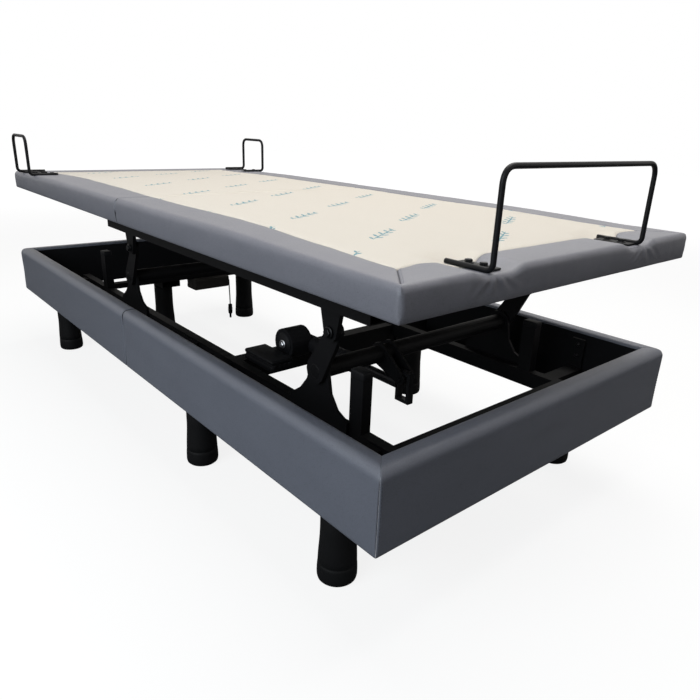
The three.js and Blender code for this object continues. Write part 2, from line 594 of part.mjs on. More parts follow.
place('seat_board', deckBoard(HINGE.thigh + BOARD_END.hinge, HINGE.back - BOARD_END.hinge), 'plywood');
place('back_board', deckBoard(HINGE.back + BOARD_END.hinge, HALF - BOARD_END.rim), 'plywood');
place('thigh_board', deckBoard(HINGE.calf + BOARD_END.strap, HINGE.thigh - BOARD_END.hinge), 'plywood');
place('calf_board', deckBoard(-HALF + BOARD_END.rim, HINGE.calf - BOARD_END.hinge), 'plywood');
place('back_frame', sectionFrame({
  y0: HINGE.back + SECTION.setback,
  y1: SECTION_END,
  crosses: [290, 560, 940],
  ears: [[HINGE.back, 1]],
  crank: { ...BACK_DRIVE, hingeY: HINGE.back, lean: -TILT.back / 2, root: 290 },
}), 'steel');
place('thigh_frame', sectionFrame({
  y0: HINGE.calf + SECTION.setback,
  y1: HINGE.thigh - SECTION.setback,
  crosses: [-30, -250],
  ears: [[HINGE.thigh, -1]],
  pins: [[HINGE.calf, 1]],
  crank: { ...LEG_DRIVE, hingeY: HINGE.thigh, lean: TILT.thigh / 2, root: -30 },
}), 'steel');
place('calf_frame', sectionFrame({
  y0: -SECTION_END,
  y1: HINGE.calf - SECTION.setback,
  crosses: [-940, -560, -345],
  ears: [[HINGE.calf, -1]],
}), 'steel');

const backFold = TILT.back / 2;
const thighFold = TILT.thigh / 2;
const calfFold = TILT.calf / 2;
const seatEnds = [padEnds(HINGE.thigh, 1, thighFold, 0), padEnds(HINGE.back, -1, backFold, 0)];
const thighEnds = [padEnds(HINGE.calf, 1, 0, calfFold), padEnds(HINGE.thigh, -1, thighFold, 0)];
place('seat_pad', pad(...seatEnds, 0), 'fabric');
place('back_pad', pad(padEnds(HINGE.back, 1, backFold, 0), padEnd(HALF, -1), 1), 'fabric');
place('thigh_pad', pad(...thighEnds, 0), 'fabric');
place('calf_pad', pad(padEnd(-HALF, 1), padEnds(HINGE.calf, -1, 0, calfFold), -1), 'fabric');

place('foot_retainer', footRetainer(), 'steel');
SIDES.forEach((side) => place(`side_retainer_${sideName(side)}`, sideRetainer(side), 'steel'));

place('control_box', roundedBox([-262, -196], [-396, -266], [265.3, 296], 8), 'plastic');
place('power_supply', roundedBox(SUPPLY.xs, SUPPLY.ys, SUPPLY.zs, 12), 'grey_plastic');
place('power_lead', powerLead(), 'cable');
place('lead_connector', leadConnector(), 'plastic');

export default base;
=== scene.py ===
"""Finished look of an adjustable bed base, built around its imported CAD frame.

Every length is in metres, in the frame's own axes: X across, Y from the foot end to the head end
and Z up. Hard parts keep their CAD shape and get a finish. Upholstery, mattress retainers, legs,
the control box and the power lead get finer meshes that stand for their plain CAD solids.
"""

import json
import logging
import math
from dataclasses import dataclass, field
from enum import Enum
from typing import Callable, Sequence

import bmesh
import bpy
from mathutils import Matrix, Vector, noise


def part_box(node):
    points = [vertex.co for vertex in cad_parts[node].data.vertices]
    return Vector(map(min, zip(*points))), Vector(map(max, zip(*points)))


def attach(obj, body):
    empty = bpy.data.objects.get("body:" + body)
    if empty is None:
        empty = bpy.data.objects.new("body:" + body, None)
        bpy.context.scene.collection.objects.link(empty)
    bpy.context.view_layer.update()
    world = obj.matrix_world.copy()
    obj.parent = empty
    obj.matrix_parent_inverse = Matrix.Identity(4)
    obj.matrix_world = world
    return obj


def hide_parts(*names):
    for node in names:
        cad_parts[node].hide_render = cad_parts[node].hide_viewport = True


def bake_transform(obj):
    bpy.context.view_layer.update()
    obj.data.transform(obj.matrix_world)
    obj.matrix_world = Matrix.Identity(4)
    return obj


logging.basicConfig(level=logging.INFO, format="%(message)s")
LOG = logging.getLogger("bed_base")

Point = tuple[float, float, float]
Pair = tuple[float, float]
Colour = tuple[float, float, float]
Links = dict[str | int, object]

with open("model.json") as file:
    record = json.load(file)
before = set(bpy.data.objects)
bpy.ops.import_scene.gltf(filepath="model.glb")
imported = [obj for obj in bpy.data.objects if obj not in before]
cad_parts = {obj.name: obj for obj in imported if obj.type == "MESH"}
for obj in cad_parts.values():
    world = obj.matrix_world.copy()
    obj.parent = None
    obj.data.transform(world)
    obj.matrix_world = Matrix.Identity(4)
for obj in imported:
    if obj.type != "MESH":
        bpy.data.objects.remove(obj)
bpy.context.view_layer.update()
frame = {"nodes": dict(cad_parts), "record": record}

REST = "rest_place"
LEFT_AND_RIGHT = (-1, 1)


def side_name(side: int) -> str:
    """Returns the word for a side: left is -X and right is +X."""
    return "left" if side < 0 else "right"


# ---------------------------------------------------------------- node groups
class Socket(Enum):
    """Kinds of socket that a node group can have."""

    COLOUR = "NodeSocketColor"
    VALUE = "NodeSocketFloat"
    VECTOR = "NodeSocketVector"


class GroupBuilder:
    """Builds one shader node group with named inputs and outputs."""

    def __init__(
        self, name: str, inputs: dict[str, tuple[Socket, object]], outputs: dict[str, Socket]
    ) -> None:
        """Makes the empty group.

        Args:
            name: Name of the group.
            inputs: Kind and default value of each input, by name. Every group also has a Vector.
            outputs: Kind of each output, by name.
        """
        self.tree = bpy.data.node_groups.new(name, "ShaderNodeTree")
        for label, (kind, default) in {"Vector": (Socket.VECTOR, None), **inputs}.items():
            made = self.tree.interface.new_socket(label, in_out="INPUT", socket_type=kind.value)
            if default is not None:
                made.default_value = default
        for label, kind in outputs.items():
            self.tree.interface.new_socket(label, in_out="OUTPUT", socket_type=kind.value)
        self.given = self.tree.nodes.new("NodeGroupInput").outputs
        self.end = self.tree.nodes.new("NodeGroupOutput")
        self.place = self.given["Vector"]

    def node(self, kind: str, links: Links | None = None, **settings: object) -> bpy.types.Node:
        """Adds a node to the group. See add_node."""
        return add_node(self.tree, kind, links, **settings)

    def math(self, operation: str, *values: object) -> bpy.types.NodeSocket:
        """Adds a math node and returns its value."""
        return self.node("Math", dict(enumerate(values)), operation=operation).outputs[0]

    def times(self, first: object, second: object) -> bpy.types.NodeSocket:
        """Adds a product and returns its value."""
        return self.math("MULTIPLY", first, second)

    def ramp(self, value: object, low: float, high: float) -> bpy.types.NodeSocket:
        """Adds a smooth step from 0 at low to 1 at high, and returns its value."""
        links = {"Value": value, "From Min": low, "From Max": high}
        return self.node("MapRange", links, interpolation_type="SMOOTHSTEP").outputs[0]

    def noise(self, scale: object, detail: float = 2.0) -> bpy.types.Node:
        """Adds noise at the group's place and returns its node."""
        return self.node("TexNoise", {"Vector": self.place, "Scale": scale, "Detail": detail})

    def rotated(self, main: object, other: object, angle: float, sign: float = 1.0) -> bpy.types.NodeSocket:
        """Adds one rotated coordinate, main cos + sign other sin, and returns its value."""
        first, second = self.times(main, math.cos(angle)), self.times(other, sign * math.sin(angle))
        return self.math("ADD", first, second)

    def finish(self, results: dict[str, bpy.types.NodeSocket]) -> bpy.types.NodeTree:
        """Joins the results to the group's outputs.

        Args:
            results: The socket for each output, by name.

        Returns:
            The finished group.
        """
        for label, socket in results.items():
            self.tree.links.new(socket, self.end.inputs[label])
        return self.tree


def add_node(
    tree: bpy.types.NodeTree, kind: str, links: Links | None = None, **settings: object
) -> bpy.types.Node:
    """Adds a shader node to a tree.

    Args:
        tree: Tree that gets the node.
        kind: Node type, without the ShaderNode prefix.
        links: Socket, or plain value, for each of the node's inputs.
        settings: Properties to set on the node.

    Returns:
        The new node.
    """
    made = tree.nodes.new("ShaderNode" + kind)
    for label, value in settings.items():
        setattr(made, label, value)
    for label, value in (links or {}).items():
        feed(tree, made.inputs[label], value)
    return made


def feed(tree: bpy.types.NodeTree, socket: bpy.types.NodeSocket, value: object) -> None:
    """Links another node's socket to this one, or sets it to a plain value.

    Args:
        tree: Tree that both sockets are in.
        socket: Input to feed.
        value: Another node's socket, or a plain value.
    """
    if isinstance(value, bpy.types.NodeSocket):
        tree.links.new(value, socket)
    else:
        socket.default_value = value


def grain_group() -> bpy.types.NodeTree:
    """Returns the pebbled grain of faux leather: a height, and a mask of its creases.

    Returns:
        The group.
    """
    inputs = {"Scale": (Socket.VALUE, 620.0)}
    group = GroupBuilder("leather_grain", inputs, {"Height": Socket.VALUE, "Crease": Socket.VALUE})
    sway = group.noise(90.0).outputs["Color"]
    offset = group.node("VectorMath", {0: sway, 1: (0.004, 0.004, 0.004)}, operation="MULTIPLY")
    moved = group.node("VectorMath", {0: group.place, 1: offset.outputs[0]}, operation="ADD")
    links = {"Vector": moved.outputs[0], "Scale": group.given["Scale"], "Randomness": 0.9}
    cells = group.node("TexVoronoi", links, feature="DISTANCE_TO_EDGE")
    crease = group.ramp(cells.outputs["Distance"], 0.14, 0.0)
    rise = group.math("SUBTRACT", group.times(group.noise(1900.0).outputs["Fac"], 0.35), crease)
    return group.finish({"Height": rise, "Crease": crease})


def knit_group() -> bpy.types.NodeTree:
    """Returns a fine mattress knit: a height and a thread mask.

    Returns:
        The group.
    """
    inputs = {"Pitch": (Socket.VALUE, 0.0016)}
    group = GroupBuilder("knit", inputs, {"Height": Socket.VALUE, "Thread": Socket.VALUE})
    split = group.node("SeparateXYZ", {0: group.place})
    turn = group.math("DIVIDE", 2 * math.pi, group.given["Pitch"])
    ribs = group.math("SINE", group.times(split.outputs["X"], turn))
    along = group.times(split.outputs["Y"], turn)
    stitch = group.math("SINE", group.math("ADD", along, group.times(ribs, 0.9)))
    thread = group.times(group.math("ADD", group.times(ribs, stitch), 1.0), 0.5)
    height = group.math("ADD", thread, group.times(group.noise(1300.0, 3.0).outputs["Fac"], 0.5))
    return group.finish({"Height": height, "Thread": thread})


@dataclass(frozen=True)
class Stroke:
    """One brush stroke of the printed sprig, in the sprig's own metres."""

    along: float
    across: float
    half_length: float
    half_width: float
    turn: float


SPRIG_LEAN = 0.47
SPRIG = (
    Stroke(0.000, 0.0000, 0.0680, 0.0017, 0.04),
    Stroke(-0.057, 0.0046, 0.0088, 0.0029, 0.72),
    Stroke(-0.043, -0.0058, 0.0100, 0.0031, -0.68),
    Stroke(-0.029, 0.0068, 0.0110, 0.0033, 0.74),
    Stroke(-0.014, -0.0060, 0.0106, 0.0032, -0.66),
    Stroke(0.001, 0.0074, 0.0112, 0.0034, 0.74),
    Stroke(0.016, -0.0050, 0.0104, 0.0031, -0.62),
    Stroke(0.031, 0.0078, 0.0104, 0.0031, 0.70),
    Stroke(0.045, -0.0020, 0.0096, 0.0028, -0.52),
    Stroke(0.058, 0.0070, 0.0084, 0.0026, 0.60),
)


def sprig_group() -> bpy.types.NodeTree:
    """Returns the mask of a small printed leaf sprig, repeated in staggered rows and leaning.

    Returns:
        The group.
    """
    inputs = {"Column": (Socket.VALUE, 0.41), "Row": (Socket.VALUE, 0.129)}
    group = GroupBuilder("printed_sprig", inputs, {"Print": Socket.VALUE})
    width, height = group.given["Column"], group.given["Row"]
    split = group.node("SeparateXYZ", {0: group.place})
    row = group.math("DIVIDE", split.outputs["Y"], height)
    shift = group.times(group.math("PINGPONG", group.math("FLOOR", row), 1.0), 0.5)
    column = group.math("ADD", group.math("DIVIDE", split.outputs["X"], width), shift)
    local_x = group.times(group.math("SUBTRACT", group.math("FRACT", column), 0.5), width)
    local_y = group.times(group.math("SUBTRACT", group.math("FRACT", row), 0.5), height)
    along = group.rotated(local_x, local_y, SPRIG_LEAN)
    across = group.rotated(local_y, local_x, SPRIG_LEAN, -1.0)
    mask: object = 0.0
    for stroke in SPRIG:
        x = group.math("SUBTRACT", along, stroke.along)
        y = group.math("SUBTRACT", across, stroke.across)
        u = group.math("DIVIDE", group.rotated(x, y, stroke.turn), stroke.half_length)
        v = group.math("DIVIDE", group.rotated(y, x, stroke.turn, -1.0), stroke.half_width)
        reach = group.math("ADD", group.times(u, u), group.times(v, v))
        mask = group.math("MAXIMUM", mask, group.ramp(reach, 1.15, 0.8))
    wear = group.ramp(group.noise(260.0, 3.0).outputs["Fac"], 0.25, 0.5)
    return group.finish({"Print": group.times(mask, wear)})


def dust_group() -> bpy.types.NodeTree:
    """Returns a soft mottle and a mask of fine dust that lies on faces that look up.

    Returns:
        The group.
    """
    inputs = {"Amount": (Socket.VALUE, 0.3)}
    group = GroupBuilder("dust", inputs, {"Dust": Socket.VALUE, "Mottle": Socket.VALUE})
    cloud = group.noise(9.0, 5.0).outputs["Fac"]
    speck = group.noise(420.0).outputs["Fac"]
    facing = group.node("SeparateXYZ", {0: group.node("NewGeometry").outputs["Normal"]})
    upward = group.ramp(facing.outputs["Z"], 0.2, 1.0)
    patches = group.times(group.ramp(cloud, 0.4, 0.7), upward)
    specks = group.times(group.ramp(speck, 0.62, 0.72), upward)
    both = group.math("MAXIMUM", group.times(patches, 0.6), specks)
    return group.finish({"Dust": group.times(both, group.given["Amount"]), "Mottle": cloud})


def orange_peel_group() -> bpy.types.NodeTree:
    """Returns the fine relief of powder coat or moulded plastic.

    Returns:
        The group.
    """
    group = GroupBuilder("orange_peel", {"Scale": (Socket.VALUE, 700.0)}, {"Height": Socket.VALUE})
    fine = group.noise(group.given["Scale"]).outputs["Fac"]
    broad = group.noise(60.0).outputs["Fac"]
    return group.finish({"Height": group.math("ADD", fine, group.times(broad, 0.6))})


# ---------------------------------------------------------------- finishes
class Source(Enum):
    """Where a finish reads its place on the surface from."""

    REST_PLACE = "rest"
    OBJECT = "object"


class Effects:
    """The shared node groups, each built once."""

    def __init__(self) -> None:
        """Builds every group."""
        self.grain = grain_group()
        self.knit = knit_group()
        self.sprig = sprig_group()
        self.dust = dust_group()
        self.peel = orange_peel_group()


def tinted(colour: Colour, factor: float, rise: float = 0.0) -> Colour:
    """Returns a colour times a factor, plus a rise, with no channel above 1."""
    return tuple(min(1.0, c * factor + rise) for c in colour)


class Canvas:
    """A new material with its shader, its place vector and helpers to add nodes."""

    def __init__(self, name: str, source: Source) -> None:
        """Makes the material.

        Args:
            name: Name of the material.
            source: Where its textures read their place from.
        """
        self.material = bpy.data.materials.new(name)
        self.material.use_nodes = True
        self.tree = self.material.node_tree
        self.shader = self.tree.nodes["Principled BSDF"]
        if source is Source.REST_PLACE:
            self.place = add_node(self.tree, "Attribute", attribute_name=REST).outputs["Vector"]
        else:
            self.place = add_node(self.tree, "TexCoord").outputs["Object"]

    def group(self, tree: bpy.types.NodeTree, **values: object) -> bpy.types.Node:
        """Adds a node group at the material's place, with its inputs set to values, and returns it."""
        return add_node(self.tree, "Group", {"Vector": self.place, **values}, node_tree=tree)

    def mix(self, mask: object, first: object, second: object) -> bpy.types.NodeSocket:
        """Adds a mix of two colours, which are sockets or plain, and returns its result.

        Args:
            mask: Share of the second colour.
            first: First colour.
            second: Second colour.

        Returns:
            The result.
        """
        made = add_node(self.tree, "Mix", {0: mask}, data_type="RGBA")
        for slot, value in ((6, first), (7, second)):
            feed(self.tree, made.inputs[slot], (*value, 1.0) if isinstance(value, tuple) else value)
        return made.outputs[2]

    def spread(self, value: bpy.types.NodeSocket, low: float, high: float) -> bpy.types.NodeSocket:
        """Maps a value from 0 to 1 onto low to high and returns it."""
        return add_node(self.tree, "MapRange", {"Value": value, "To Min": low, "To Max": high}).outputs[0]

    def set(self, **values: object) -> None:
        """Sets or links the shader's sockets. Underscores in names stand for spaces."""
        for label, value in values.items():
            feed(self.tree, self.shader.inputs[label.replace("_", " ")], value)

    def relief(self, height: bpy.types.NodeSocket, strength: float, depth: float) -> None:
        """Joins a height to the shader's normal through a bump node."""
        links = {"Height": height, "Strength": strength, "Distance": depth}
        self.set(Normal=add_node(self.tree, "Bump", links).outputs[0])


@dataclass(frozen=True)
class FauxLeather:
    """Grained faux leather with soft colour variation."""

    name: str
    colour: Colour
    crease: Colour
    roughness: float = 0.5

    def build(self, effects: Effects) -> bpy.types.Material:
        """Returns the finished material.

        Args:
            effects: The shared node groups.

        Returns:
            The material.
        """
        canvas = Canvas(self.name, Source.REST_PLACE)
        grain = canvas.group(effects.grain)
        dust = canvas.group(effects.dust, Amount=0.10)
        base = canvas.mix(dust.outputs["Mottle"], self.colour, tinted(self.colour, 1.12))
        creased = canvas.mix(grain.outputs["Crease"], base, self.crease)
        dusted = canvas.mix(dust.outputs["Dust"], creased, (0.45, 0.44, 0.43))
        rough = canvas.spread(dust.outputs["Mottle"], self.roughness - 0.06, self.roughness + 0.08)
        canvas.set(Base_Color=dusted, Roughness=rough)
        canvas.set(Specular_IOR_Level=0.5, Coat_Weight=0.35, Coat_Roughness=0.42)
        canvas.relief(grain.outputs["Height"], 0.35, 0.00035)
        return canvas.material


@dataclass(frozen=True)
class PrintedKnit:
    """Cream mattress knit with a small printed sprig."""

    name: str
    colour: Colour
    ink: Colour

    def build(self, effects: Effects) -> bpy.types.Material:
        """Returns the finished material.

        Args:
            effects: The shared node groups.

        Returns:
            The material.
        """
        canvas = Canvas(self.name, Source.REST_PLACE)
        knit = canvas.group(effects.knit)
        dust = canvas.group(effects.dust, Amount=0.04)
        sprig = canvas.group(effects.sprig)
        woven = canvas.mix(knit.outputs["Thread"], tinted(self.colour, 0.86), self.colour)
        mottle = canvas.spread(dust.outputs["Mottle"], 0.0, 0.25)
        warm = canvas.mix(mottle, woven, tinted(self.colour, 0.93))
        printed = canvas.mix(sprig.outputs["Print"], warm, self.ink)
        canvas.set(Base_Color=printed, Roughness=canvas.spread(knit.outputs["Thread"], 0.96, 0.84))
        canvas.set(Specular_IOR_Level=0.2, Sheen_Weight=0.3, Sheen_Roughness=0.6)
        canvas.relief(knit.outputs["Height"], 0.4, 0.0005)
        return canvas.material


@dataclass(frozen=True)
class Coat:
    """Powder coated steel or moulded plastic."""

    name: str
    colour: Colour
    roughness: float
    metallic: float = 0.0
    peel: float = 700.0
    dust: float = 0.22
    source: Source = Source.OBJECT
    depth: float = 0.00012
    gloss: float = 0.13

    def build(self, effects: Effects) -> bpy.types.Material:
        """Returns the finished material.

        Args:
            effects: The shared node groups.

        Returns:
            The material.
        """
        canvas = Canvas(self.name, self.source)
        dust = canvas.group(effects.dust, Amount=self.dust)
        peel = canvas.group(effects.peel, Scale=self.peel)
        base = canvas.mix(dust.outputs["Mottle"], self.colour, tinted(self.colour, 1.5, 0.0012))
        dusted = canvas.mix(dust.outputs["Dust"], base, (0.30, 0.29, 0.27))
        rough = canvas.spread(dust.outputs["Mottle"], self.roughness - 0.07, self.roughness + 0.10)
        canvas.set(Base_Color=dusted, Roughness=rough)
        canvas.set(Metallic=self.metallic, Specular_IOR_Level=self.gloss)
        canvas.relief(peel.outputs["Height"], 0.35, self.depth)
        return canvas.material


@dataclass(frozen=True)
class Ply:
    """Plain plywood: long grain on the faces and plies on the edges."""

    name: str
    light: Colour
    dark: Colour
    ply: float = 0.003

    def build(self, effects: Effects) -> bpy.types.Material:
        """Returns the finished material.

        Args:
            effects: The shared node groups.

        Returns:
            The material.
        """
        canvas = Canvas(self.name, Source.OBJECT)
        stretched = add_node(canvas.tree, "Mapping", {"Vector": canvas.place, "Scale": (60.0, 2.2, 60.0)})
        links = {"Vector": stretched.outputs[0], "Scale": 1.0, "Detail": 6.0}
        grain = add_node(canvas.tree, "TexNoise", links)
        split = add_node(canvas.tree, "SeparateXYZ", {0: canvas.place})
        turns = {0: split.outputs["Z"], 1: 2 * math.pi / self.ply}
        layers = add_node(canvas.tree, "Math", turns, operation="MULTIPLY")
        plies = add_node(canvas.tree, "Math", {0: layers.outputs[0]}, operation="SINE")
        face = canvas.mix(canvas.spread(grain.outputs["Fac"], -0.3, 1.2), self.light, self.dark)
        edge = canvas.mix(canvas.spread(plies.outputs[0], 0.0, 0.35), face, self.dark)
        dust = canvas.group(effects.dust, Amount=0.15)
        canvas.set(Base_Color=canvas.mix(dust.outputs["Dust"], edge, (0.6, 0.55, 0.48)))
        canvas.set(Roughness=canvas.spread(grain.outputs["Fac"], 0.6, 0.85))
        canvas.relief(grain.outputs["Fac"], 0.3, 0.0004)
        return canvas.material


@dataclass(frozen=True)
class PaleFloor:
    """Studio floor that looks almost white and throws little light back up."""

    name: str
    shown: Colour = (0.16, 0.16, 0.16)
    glow: Colour = (0.86, 0.86, 0.86)
    fade: Pair = (2.6, 7.0)

    def build(self) -> bpy.types.Material:
        """Returns the finished material.

        Returns:
            The material.
        """
        canvas = Canvas(self.name, Source.OBJECT)
        seen = add_node(canvas.tree, "LightPath").outputs["Is Camera Ray"]
        away = add_node(canvas.tree, "VectorMath", {0: canvas.place}, operation="LENGTH").outputs["Value"]
        links = {"Value": away, "From Min": self.fade[0], "From Max": self.fade[1]}
        far = add_node(canvas.tree, "MapRange", links, interpolation_type="SMOOTHSTEP").outputs[0]
        glow = canvas.mix(far, self.glow, (1.0, 1.0, 1.0))
        canvas.set(Base_Color=(*self.shown, 1.0), Roughness=0.9, Specular_IOR_Level=0.1)
        canvas.set(Emission_Color=canvas.mix(seen, (0.0, 0.0, 0.0), glow), Emission_Strength=1.0)
        return canvas.material


class Finishes:
    """Every material of the base, built once."""

    def __init__(self) -> None:
        """Builds the shared effects and the materials."""
        effects = Effects()
        self.leather = FauxLeather(
            "grey_leather", (0.136, 0.144, 0.178), (0.092, 0.098, 0.124)).build(effects)
        # Border: a lighter, more neutral copy of the grey leather, which paints the light that falls on the
        # deck's top band and sides.
        self.border = FauxLeather(
            "border_leather", (0.170, 0.170, 0.200), (0.120, 0.121, 0.144)).build(effects)
        self.thread = FauxLeather(
            "seam_thread", (0.055, 0.06, 0.08), (0.03, 0.033, 0.045), 0.75).build(effects)
        self.knit = PrintedKnit("cream_knit", (0.84, 0.765, 0.665), (0.020, 0.24, 0.31)).build(effects)
        self.ply = Ply("plywood", (0.62, 0.45, 0.28), (0.36, 0.23, 0.12)).build(effects)
        self.floor = PaleFloor("studio_floor").build()

        def coat(
            name: str, colour: Colour, roughness: float, peel: float, dust: float = 0.05,
            metallic: float = 0.0, source: Source = Source.REST_PLACE,
        ) -> bpy.types.Material:
            """Returns one coated or moulded finish."""
            return Coat(name, colour, roughness, metallic, peel, dust, source).build(effects)

        cad = Source.OBJECT
        black = (0.005, 0.005, 0.006)
        self.steel = coat("powder_coat", (0.003, 0.003, 0.0036), 0.55, 800.0, source=cad)
        self.zinc = coat("blackened_steel", (0.020, 0.020, 0.022), 0.38, 500.0, 0.03, 0.6, cad)
        self.plastic = coat("black_plastic", black, 0.55, 1200.0, source=cad)
        self.plastic_rest = coat("moulded_plastic", black, 0.55, 1200.0)
        self.rod = coat("rod_coat", black, 0.40, 900.0, 0.04)
        self.leg = coat("leg_plastic", (0.0035, 0.0035, 0.004), 0.58, 1100.0, 0.04)
        self.rubber = coat("rubber", (0.006, 0.006, 0.007), 0.75, 1500.0)
        self.bolt = coat("black_bolt", (0.014, 0.014, 0.015), 0.36, 500.0, 0.03, 0.7)
        self.bright = coat("bright_bolt", (0.45, 0.45, 0.47), 0.32, 500.0, 0.03, 0.9)
        self.grey = coat("grey_plastic", (0.030, 0.027, 0.024), 0.5, 1200.0)
        self.sheath = coat("cable_sheath", (0.006, 0.006, 0.006), 0.55, 1600.0, 0.03)
        # Near-black finish: the rail boards' dark inner faces, and painted shade in their middle seams and
        # in the fold of the deck cover.
        self.dark_inner_and_shade = coat("board_lining", (0.006, 0.006, 0.007), 0.85, 900.0)


# ---------------------------------------------------------------- mesh helpers
def make_piece(
    name: str, points: Sequence[Point], faces: Sequence[Sequence[int]], material: bpy.types.Material,
    smooth: bool = True,
) -> bpy.types.Object:
    """Makes a mesh object that remembers where each of its points rests.

    Args:
        name: Name of the piece.
        points: Its points.
        faces: Point numbers of each face.
        material: Its finish.
        smooth: Whether its faces are shaded smooth.

    Returns:
        The new object, in the scene.
    """
    mesh = bpy.data.meshes.new(name)
    mesh.from_pydata([tuple(p) for p in points], [], [tuple(f) for f in faces])
    mesh.materials.append(material)
    for face in mesh.polygons:
        face.use_smooth = smooth
    piece = bpy.data.objects.new(name, mesh)
    bpy.context.scene.collection.objects.link(piece)
    remember_rest(piece)
    return piece


def remember_rest(piece: bpy.types.Object) -> None:
    """Stores each point's place at rest, so that a texture stays on the piece as it moves or bends.

    Args:
        piece: The piece.
    """
    mesh = piece.data
    stored = mesh.attributes.get(REST) or mesh.attributes.new(REST, "FLOAT_VECTOR", "POINT")
    for vertex, slot in zip(mesh.vertices, stored.data):
        slot.vector = piece.matrix_world @ vertex.co


def apply_modifiers(piece: bpy.types.Object) -> None:
    """Replaces a piece's mesh with what its modifiers make of it.

    Args:
        piece: The piece.
    """
    graph = bpy.context.evaluated_depsgraph_get()
    made = bpy.data.meshes.new_from_object(piece.evaluated_get(graph))
    piece.modifiers.clear()
    piece.data = made
    remember_rest(piece)


def grid_faces(rows: int, columns: int, loop: bool = False) -> list[list[int]]:
    """Faces of a grid of points that is stored row by row.

    Args:
        rows: Number of rows of points.
        columns: Number of points in a row.
        loop: Whether each row closes on itself.

    Returns:
        Point numbers of each face.
    """
    faces = []
    for row in range(rows - 1):
        for column in range(columns if loop else columns - 1):
            a, b = row * columns + column, row * columns + (column + 1) % columns
            faces.append([a, b, b + columns, a + columns])
    return faces


def loft(name: str, rings: Sequence[Sequence[Point]], material: bpy.types.Material) -> bpy.types.Object:
    """Makes a closed skin through rings of points, with its two ends filled.

    Args:
        name: Name of the piece.
        rings: The rings, each a closed loop with the same number of points.
        material: Its finish.

    Returns:
        The new object.
    """
    count = len(rings[0])
    points = [point for ring in rings for point in ring]
    faces = grid_faces(len(rings), count, loop=True)
    faces.append(list(range(count))[::-1])
    faces.append([len(points) - count + i for i in range(count)])
    return make_piece(name, points, faces, material)


def rod_rings(
    path: Sequence[Vector], radius: Callable[[int], float] | float, sides: int = 16
) -> list[list[Point]]:
    """Rings of points round a path, turned as little as possible from one to the next.

    Args:
        path: Points of the centre line.
        radius: Radius, or a function from point number to radius.
        sides: Points in a ring.

    Returns:
        The rings.
    """
    rings = []
    side = Vector((0.0, 0.0, 0.0))
    for i, centre in enumerate(path):
        ahead = (path[min(i + 1, len(path) - 1)] - path[max(i - 1, 0)]).normalized()
        if i == 0:
            side = ahead.orthogonal().normalized()
        side = (side - ahead * side.dot(ahead)).normalized()
        up = ahead.cross(side)
        size = radius(i) if callable(radius) else radius
        turns = [2 * math.pi * k / sides for k in range(sides)]
        rings.append([tuple(centre + (side * math.cos(t) + up * math.sin(t)) * size) for t in turns])
    return rings


def bent_path(corners: Sequence[Point], bends: Sequence[float], steps: int = 10) -> list[Vector]:
    """A path of straight runs joined by round bends.

    Args:
        corners: The path's ends and corners.
        bends: How far back from each corner its bend starts.
        steps: Points in a bend.

    Returns:
        The points of the path.
    """
    marks = [Vector(c) for c in corners]
    path = [marks[0]]
    for before, corner, after, bend in zip(marks, marks[1:], marks[2:], bends):
        back, on = before - corner, after - corner
        start = corner + back.normalized() * min(bend, back.length * 0.48)
        end = corner + on.normalized() * min(bend, on.length * 0.48)
        for k in range(steps + 1):
            t = k / steps
            path.append(start.lerp(corner, t).lerp(corner.lerp(end, t), t))
    path.append(marks[-1])
    return path


def lathe(
    name: str, profile: Sequence[Pair], centre: Point, material: bpy.types.Material, axis: str = "z",
    sides: int = 48,
) -> bpy.types.Object:
    """Makes a turned piece.

    Args:
        name: Name of the piece.
        profile: Radius and distance along the axis, from one end to the other.
        centre: Where the axis starts.
        material: Its finish.
        axis: x, y or z.
        sides: Points round it.

    Returns:
        The new object.
    """
    order = {"x": (2, 0, 1), "y": (1, 2, 0), "z": (0, 1, 2)}[axis]
    rings = []
    for radius, along in profile:
        ring = []
        for k in range(sides):
            angle = 2 * math.pi * k / sides
            local = (radius * math.cos(angle), radius * math.sin(angle), along)
            ring.append(tuple(centre[i] + local[order[i]] for i in range(3)))
        rings.append(ring)
    return loft(name, rings, material)


def rounded_block(
    name: str, low: Point, high: Point, radius: float, material: bpy.types.Material, segments: int = 4
) -> bpy.types.Object:
    """Makes a block with rounded edges.

    Args:
        name: Name of the piece.
        low: Lowest corner.
        high: Highest corner.
        radius: Radius of its edges.
        material: Its finish.
        segments: Faces across each rounded edge.

    Returns:
        The new object.
    """
    corners = [(x, y, z) for x in (low[0], high[0]) for y in (low[1], high[1]) for z in (low[2], high[2])]
    faces = [(0, 1, 3, 2), (4, 6, 7, 5), (0, 4, 5, 1), (2, 3, 7, 6), (0, 2, 6, 4), (1, 5, 7, 3)]
    piece = make_piece(name, corners, faces, material)
    bevel = piece.modifiers.new("edges", "BEVEL")
    bevel.width = radius
    bevel.segments = segments
    bevel.harden_normals = False
    apply_modifiers(piece)
    for face in piece.data.polygons:
        face.use_smooth = True
    return piece


def hex_bolt(
    name: str, centre: Point, axis: str, sign: int, size: float, material: bpy.types.Material
) -> bpy.types.Object:
    """Makes a bolt head on a washer.

    Args:
        name: Name of the piece.
        centre: Where the washer meets the part.
        axis: Axis that the bolt lies along.
        sign: Which way the head looks along the axis.
        size: Radius of the hexagon's corners.
        material: Its finish.

    Returns:
        The new object.
    """
    washer = [(0.001, 0.0), (size * 1.35, 0.0), (size * 1.35, sign * 0.0012), (size * 0.8, sign * 0.0014)]
    base = lathe(name, washer, centre, material, axis, 24)
    head = [(size, 0.0013), (size, 0.0055), (size * 0.86, 0.0066), (size * 0.4, 0.0068)]
    top = lathe(name + "_head", [(r, sign * h) for r, h in head], centre, material, axis, 6)
    for face in top.data.polygons:
        face.use_smooth = False
    return join_pieces(name, [base, top])


